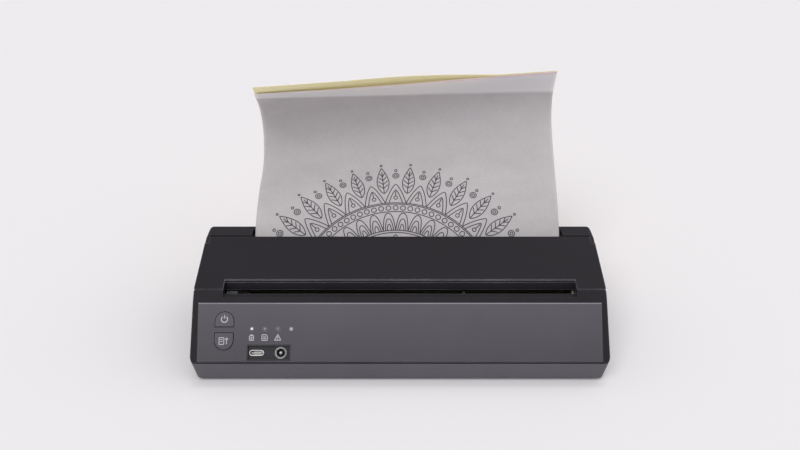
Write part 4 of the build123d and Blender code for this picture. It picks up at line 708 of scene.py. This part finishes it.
def smooth_through(points, start_way, end_way, count):
    """A cubic curve through points, with the direction given at both ends: on each stretch the
    position is a cubic in the chord length, and the stretches share slope and bend at each point."""
    chord = np.concatenate([[0], np.cumsum(np.linalg.norm(np.diff(points, axis=0), axis=1))])
    step, size = np.diff(chord), len(points)
    matrix, right = np.zeros((size, size)), np.zeros((size, 2))
    matrix[0, :2], matrix[-1, -2:] = (2 * step[0], step[0]), (step[-1], 2 * step[-1])
    slope = np.diff(points, axis=0) / step[:, None]
    right[0], right[-1] = 6 * (slope[0] - start_way), 6 * (end_way - slope[-1])
    inner = np.arange(1, size - 1)
    matrix[inner, inner - 1], matrix[inner, inner + 1] = step[:-1], step[1:]
    matrix[inner, inner] = 2 * (step[:-1] + step[1:])
    right[1:-1] = 6 * (slope[1:] - slope[:-1])
    bend = np.linalg.solve(matrix, right)
    at = np.linspace(0, chord[-1], count)
    piece = np.clip(np.searchsorted(chord, at, side="right") - 1, 0, size - 2)
    ahead, behind = (chord[piece + 1] - at)[:, None], (at - chord[piece])[:, None]
    length = step[piece][:, None]
    return (bend[piece] * ahead ** 3 / (6 * length) + bend[piece + 1] * behind ** 3 / (6 * length)
            + (points[piece] / length - bend[piece] * length / 6) * ahead
            + (points[piece + 1] / length - bend[piece + 1] * length / 6) * behind)


def edge_line(curl, extra, straight=14, curved=120, end=10):
    """One side edge of a sheet in y and z: straight from behind the nip to the exit, then curled,
    then straight again for `extra` at its tip."""
    start = nip - tail * way_out
    leaving = nip + exit_run * way_out
    points = np.vstack([leaving, leaving + curl])
    tip_way = (curl[-1] - curl[-2]) / np.linalg.norm(curl[-1] - curl[-2])
    bent = smooth_through(points, way_out, tip_way, curved)
    run = start + (leaving - start) * np.linspace(0, 1, straight)[:, None]
    tip = bent[-1] + extra * tip_way * np.linspace(0, 1, end)[:, None]
    return np.vstack([run, bent[1:], tip[1:]])


def sheet_surface(across, along, edges, lift):
    """Points of a sheet at a share of its width and a place along it, counted in rows of its two
    edge lines: the straight line between the edges at that row, moved square to the sheet by
    `lift` and by a slow wave that grows beyond the exit and dies out at the right edge."""
    rows, share = np.arange(len(edges[0])), across[..., None]
    low, high, middle = (sum(part * np.stack([np.interp(along + step, rows, line[:, axis])
                                              for axis in (0, 1)], -1)
                             for part, line in zip((1 - share, share), edges)) for step in (-0.5, 0.5, 0))
    heading = (high - low) / np.linalg.norm(high - low, axis=-1, keepdims=True)
    square = np.stack([-heading[..., 1], heading[..., 0]], -1)
    free = np.clip((along - 22) / 60, 0, 1) * (1 - across ** 4)
    wave = 0.00016 * free * (np.sin(across * 9.0 + along * 0.021) + 0.6 * np.sin(across * 17.0 - along * 0.05))
    spot = middle + square * (lift + wave)[..., None]
    return np.stack([sheet_left + across * sheet_width, spot[..., 0], spot[..., 1]], -1)


# The tissue's colour: fibres, stained patches, a tinted tip, and a paler stub band along its top end. At the left the
# band is the stub's own paler paper; it grows wider to the right, where it is painted light standing for the light on
# the curl.
fibrous, given, made = new_group(
    "tissue_fibres", {"Colour": (0.5, 0.5, 0.5, 1.0), "Stain": (0.4, 0.4, 0.4, 1.0), "Stain share": 0.3,
                      "Stub colour": (0.5, 0.5, 0.5, 1.0), "Stub": 0.0, "Stub growth": 0.0,
                      "Tip colour": (0.5, 0.4, 0.4, 1.0), "Tip": 0.0}, ["Colour", "Roughness", "Height"])
place = add_node(fibrous, "Attribute", {"attribute_name": "flat_place"}).outputs["Vector"]
spot = add_node(fibrous, "SeparateXYZ", Vector=place).outputs
# The stub band's reach grows to the right: painted light there.
stub_and_painted_light_reach = arithmetic(fibrous, "MULTIPLY", given.outputs["Stub"], arithmetic(
    fibrous, "MULTIPLY_ADD", spot["X"], given.outputs["Stub growth"], 1.0))
on_stub_and_painted_light = add_node(fibrous, "MapRange", {"interpolation_type": "SMOOTHSTEP"}, Value=arithmetic(
    fibrous, "SUBTRACT", spot["Z"], stub_and_painted_light_reach), From_Min=0.0015, From_Max=-0.0025).outputs[0]
on_tip = arithmetic(fibrous, "LESS_THAN", spot["Z"], given.outputs["Tip"])
fibre = add_node(fibrous, "TexNoise", Vector=add_node(
    fibrous, "Mapping", Vector=place, Scale=(420.0, 1300.0, 1.0)).outputs[0], Scale=1.0, Detail=4.0)
cloud = add_node(fibrous, "TexNoise", Vector=place, Scale=45.0, Detail=5.0, Roughness=0.62)
patch = add_node(fibrous, "MapRange", Value=cloud.outputs["Fac"], From_Min=0.42, From_Max=0.68).outputs[0]
fleck = add_node(fibrous, "MapRange", Value=fibre.outputs["Fac"], From_Min=0.3, From_Max=0.7,
                 To_Min=0.95, To_Max=1.05).outputs[0]
toned = add_node(fibrous, "VectorMath", {"operation": "SCALE"}, _0=given.outputs["Colour"],
                 Scale=fleck).outputs[0]
stained = mixed(fibrous, arithmetic(fibrous, "MULTIPLY", patch, given.outputs["Stain share"]), toned,
                given.outputs["Stain"])
with_stub = mixed(fibrous, on_stub_and_painted_light, stained, given.outputs["Stub colour"])
fibrous.links.new(mixed(fibrous, on_tip, with_stub, given.outputs["Tip colour"]), made.inputs["Colour"])
fibrous.links.new(add_node(fibrous, "MapRange", Value=cloud.outputs["Fac"], To_Min=0.6,
                           To_Max=0.8).outputs[0], made.inputs["Roughness"])
fibrous.links.new(arithmetic(fibrous, "ADD", fibre.outputs["Fac"], cloud.outputs["Fac"]),
                  made.inputs["Height"])


def flat_lengths(edges):
    """Length along the sheet at each row, measured from the exit, as the mean of its two edges."""
    steps = np.mean([np.linalg.norm(np.diff(line, axis=0), axis=1) for line in edges], 0)
    length = np.concatenate([[0], np.cumsum(steps)])
    return length - length[13]


def paper_sheet(name, extras, lift, thickness, slot, replaced, columns=100, **colours):
    """A thin curled sheet between its two edge lines, `lift` off them as a function of its place."""
    edges = (edge_line(left_curl, extras[0]), edge_line(right_curl, extras[1]))
    rows = len(edges[0])
    along, across = np.meshgrid(np.arange(rows, dtype=float), np.linspace(0, 1, columns), indexing="ij")
    off = lift(across, np.clip((along - 13) / (rows - 14), 0, 1))
    points, quads = slab(sheet_surface(across, along, edges, off + thickness / 2),
                         sheet_surface(across, along, edges, off - thickness / 2))
    material = textured(name + "_paper", fibrous, 0.7, 0.25, 0.00004,
                        takes={key.replace("_", " "): value for key, value in colours.items()},
                        Specular_IOR_Level=0.25, Subsurface_Weight=0.6, Subsurface_Scale=0.0008,
                        Subsurface_Radius=(1.0, 0.95, 0.85))
    piece = add_mesh(name, [(points, quads)], material, "sheet")
    length = flat_lengths(edges)[:, None] + 0 * across
    flat = np.stack([across * sheet_width, length, length[-1] - length], -1)
    piece.data.attributes.new("flat_place", "FLOAT_VECTOR", "POINT").data.foreach_set(
        "vector", np.concatenate([flat.reshape(-1, 3)] * 2).astype(np.float32).ravel())
    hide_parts(replaced)
    return edges


def corner_back(across, reach):
    """The tissue's left corner leans back by 1.7 mm at its tip: by the square of the way beyond the
    exit, and less and less towards the right."""
    return -0.0017 * np.interp(across, (0, 0.12, 0.22, 0.32), (1, 0.75, 0.25, 0)) * reach ** 2


thin = 0.00016
printed_edges = paper_sheet(
    "printed_tissue", (0.0005, 0.0032), corner_back, thin, "white_paper",
    "stencil_sheet", Colour=paint(197, 192, 193), Stain=paint(176, 171, 173),
    Stub_colour=paint(240, 236, 238), Stub=0.0092, Stub_growth=5.0, Tip_colour=paint(240, 214, 220),
    Tip=0.0013)


def bent_away(across, reach):
    """The backing lies 0.7 mm behind the tissue, and bends away from it towards its end: by the
    square of the way beyond the exit, most over the left half, and not at the right."""
    most = np.interp(across, (0, 0.3, 0.45, 0.53, 0.63, 0.73, 0.80), (2.6, 2.8, 3.9, 3.8, 2.8, 1.3, 0.0))
    return -0.0007 - most * MM * reach ** 2


paper_sheet("yellow_backing", (0.0078, 0.0032), bent_away, thin, "yellow_paper", "backing_sheet",
            Colour=paint(254, 236, 184), Stain=paint(246, 222, 166), Stub=-1.0, Tip=-1.0)

# === Printed rosette ============================================================================
# A generic line rosette, as the head leaves it on the tissue: thin strokes of dark dye. It is drawn
# flat, in distance from the sheet's left edge and from the exit, and lifted onto the curled sheet.
rosette_centre, line_width = np.array([0.097, -0.044]), 0.00066
strokes = []


def round_about(radius, turn):
    """Flat places at distances and angles about the rosette's centre; angle 0 points up the sheet."""
    return np.stack([rosette_centre[0] + radius * np.sin(turn), rosette_centre[1] + radius * np.cos(turn)], -1)


def spoke(inner, outer, first, last):
    """A straight stroke between two distances and two angles, in steps that follow the curled sheet."""
    return round_about(np.linspace(inner, outer, 14), np.linspace(first, last, 14))


def arch(inner, outer, middle, half, power, count=26, narrow=1.0, base=0.0):
    """A petal on a ring: from one foot over the crown to the other, with height 1 - |q| ** power."""
    q = np.linspace(-1, 1, count)
    return round_about(inner + base + (outer - inner - base) * (1 - np.abs(q) ** power),
                       middle + half * narrow * q)


def leaf(root, tip, middle, half_width, veins=4):
    """A leaf's two sides, midrib and veins: the width goes as the sine of the way, to a power."""
    q = np.linspace(0, 1, 22)
    width = half_width * np.sin(np.pi * q ** 0.8) ** 0.9
    reach = root + (tip - root) * q
    sides = [round_about(reach, middle + sign * width / reach) for sign in (-1, 1)]
    sides.append(spoke(root, root + (tip - root) * 0.86, middle, middle))
    for share in np.linspace(0.2, 0.66, veins):
        spot = root + (tip - root) * share
        far = root + (tip - root) * (share + 0.14)
        reach_out = half_width * np.sin(np.pi * (share + 0.14) ** 0.8) ** 0.9 * 0.82
        for sign in (-1, 1):
            sides.append(spoke(spot, far, middle, middle + sign * reach_out / far))
    return sides


def bead(radius, middle, size, count=18):
    """A small circle standing on a ring."""
    turn = np.linspace(0, 2 * np.pi, count)
    centre = round_about(radius, middle)
    return centre + size * np.stack([np.cos(turn), np.sin(turn)], -1)


full = np.linspace(-np.pi, np.pi, 500)
for radius in (0.0225, 0.0240, 0.0470, 0.0486, 0.0622, 0.0680, 0.0690):
    strokes.append(round_about(radius, full))
for number in range(18):
    middle = 2 * np.pi * number / 18
    for narrow, low, high in ((1.0, 0.0, 0.0455), (0.6, 0.002, 0.0400), (0.25, 0.004, 0.0340)):
        strokes.append(arch(0.0240, high, middle, np.pi / 18, 1.5, narrow=narrow, base=low))
for number in range(36):
    middle = 2 * np.pi * (number + 0.5) / 36
    for narrow, high in ((1.0, 0.0612), (0.68, 0.0570), (0.36, 0.0530)):
        strokes.append(arch(0.0486, high, middle, np.pi / 36, 2.4, narrow=narrow))
for number in range(80):
    strokes.append(bead(0.0651, 2 * np.pi * number / 80, 0.0017))
for number in range(30):
    middle = 2 * np.pi * number / 30
    for narrow, high in ((1.0, 0.0850), (0.66, 0.0800)):
        strokes.append(arch(0.0690, high, middle, np.pi / 30, 1.25, narrow=narrow))
    strokes.append(bead(0.0732, middle, 0.0013))
    strokes.append(spoke(0.0746, 0.0790, middle, middle))
    between = middle + np.pi / 30
    strokes += leaf(0.0770, 0.1000, between, 0.0042)
    strokes.append(bead(0.0925, middle, 0.0022))
    strokes.append(bead(0.0925, middle, 0.0010))
    strokes.append(bead(0.0972, middle, 0.0009))
    strokes.append(bead(0.1022, between, 0.0007))


def lift_onto_sheet(flat, lift):
    """Flat places put onto the curled tissue, `lift` above its middle surface."""
    rows = np.arange(len(printed_edges[0]), dtype=float)
    along = np.interp(flat[..., 1], flat_lengths(printed_edges), rows)
    across = flat[..., 0] / sheet_width
    return sheet_surface(across, along, printed_edges,
                         lift + corner_back(across, np.clip((along - 13) / (len(rows) - 14), 0, 1)))


# Strokes that cross lie at slightly different heights, so that no two faces coincide.
printed = []
for number, stroke in enumerate(strokes):
    inside = (stroke[:, 1] > -0.030) & (stroke[:, 0] > 0.004) & (stroke[:, 0] < sheet_width - 0.004)
    for run in np.split(np.arange(len(stroke)), np.flatnonzero(np.diff(inside.astype(int))) + 1):
        if len(run) > 1 and inside[run[0]]:
            printed.append(inked(stroke[run], line_width, lift_onto_sheet, thin / 2 - 0.00001,
                                 thin / 2 + 0.00002 + (number % 11) * 0.0000015))
dye = plastic("stencil_dye", paint(70, 66, 74), 0.6, worn_and_highlight=paint(70, 66, 74), wear_and_highlight=0.0, grain=2400.0,
              specular=0.2, bump=0.05, crevice_shade=0.0)
add_mesh("printed_rosette", printed, dye, "sheet", smooth=False)
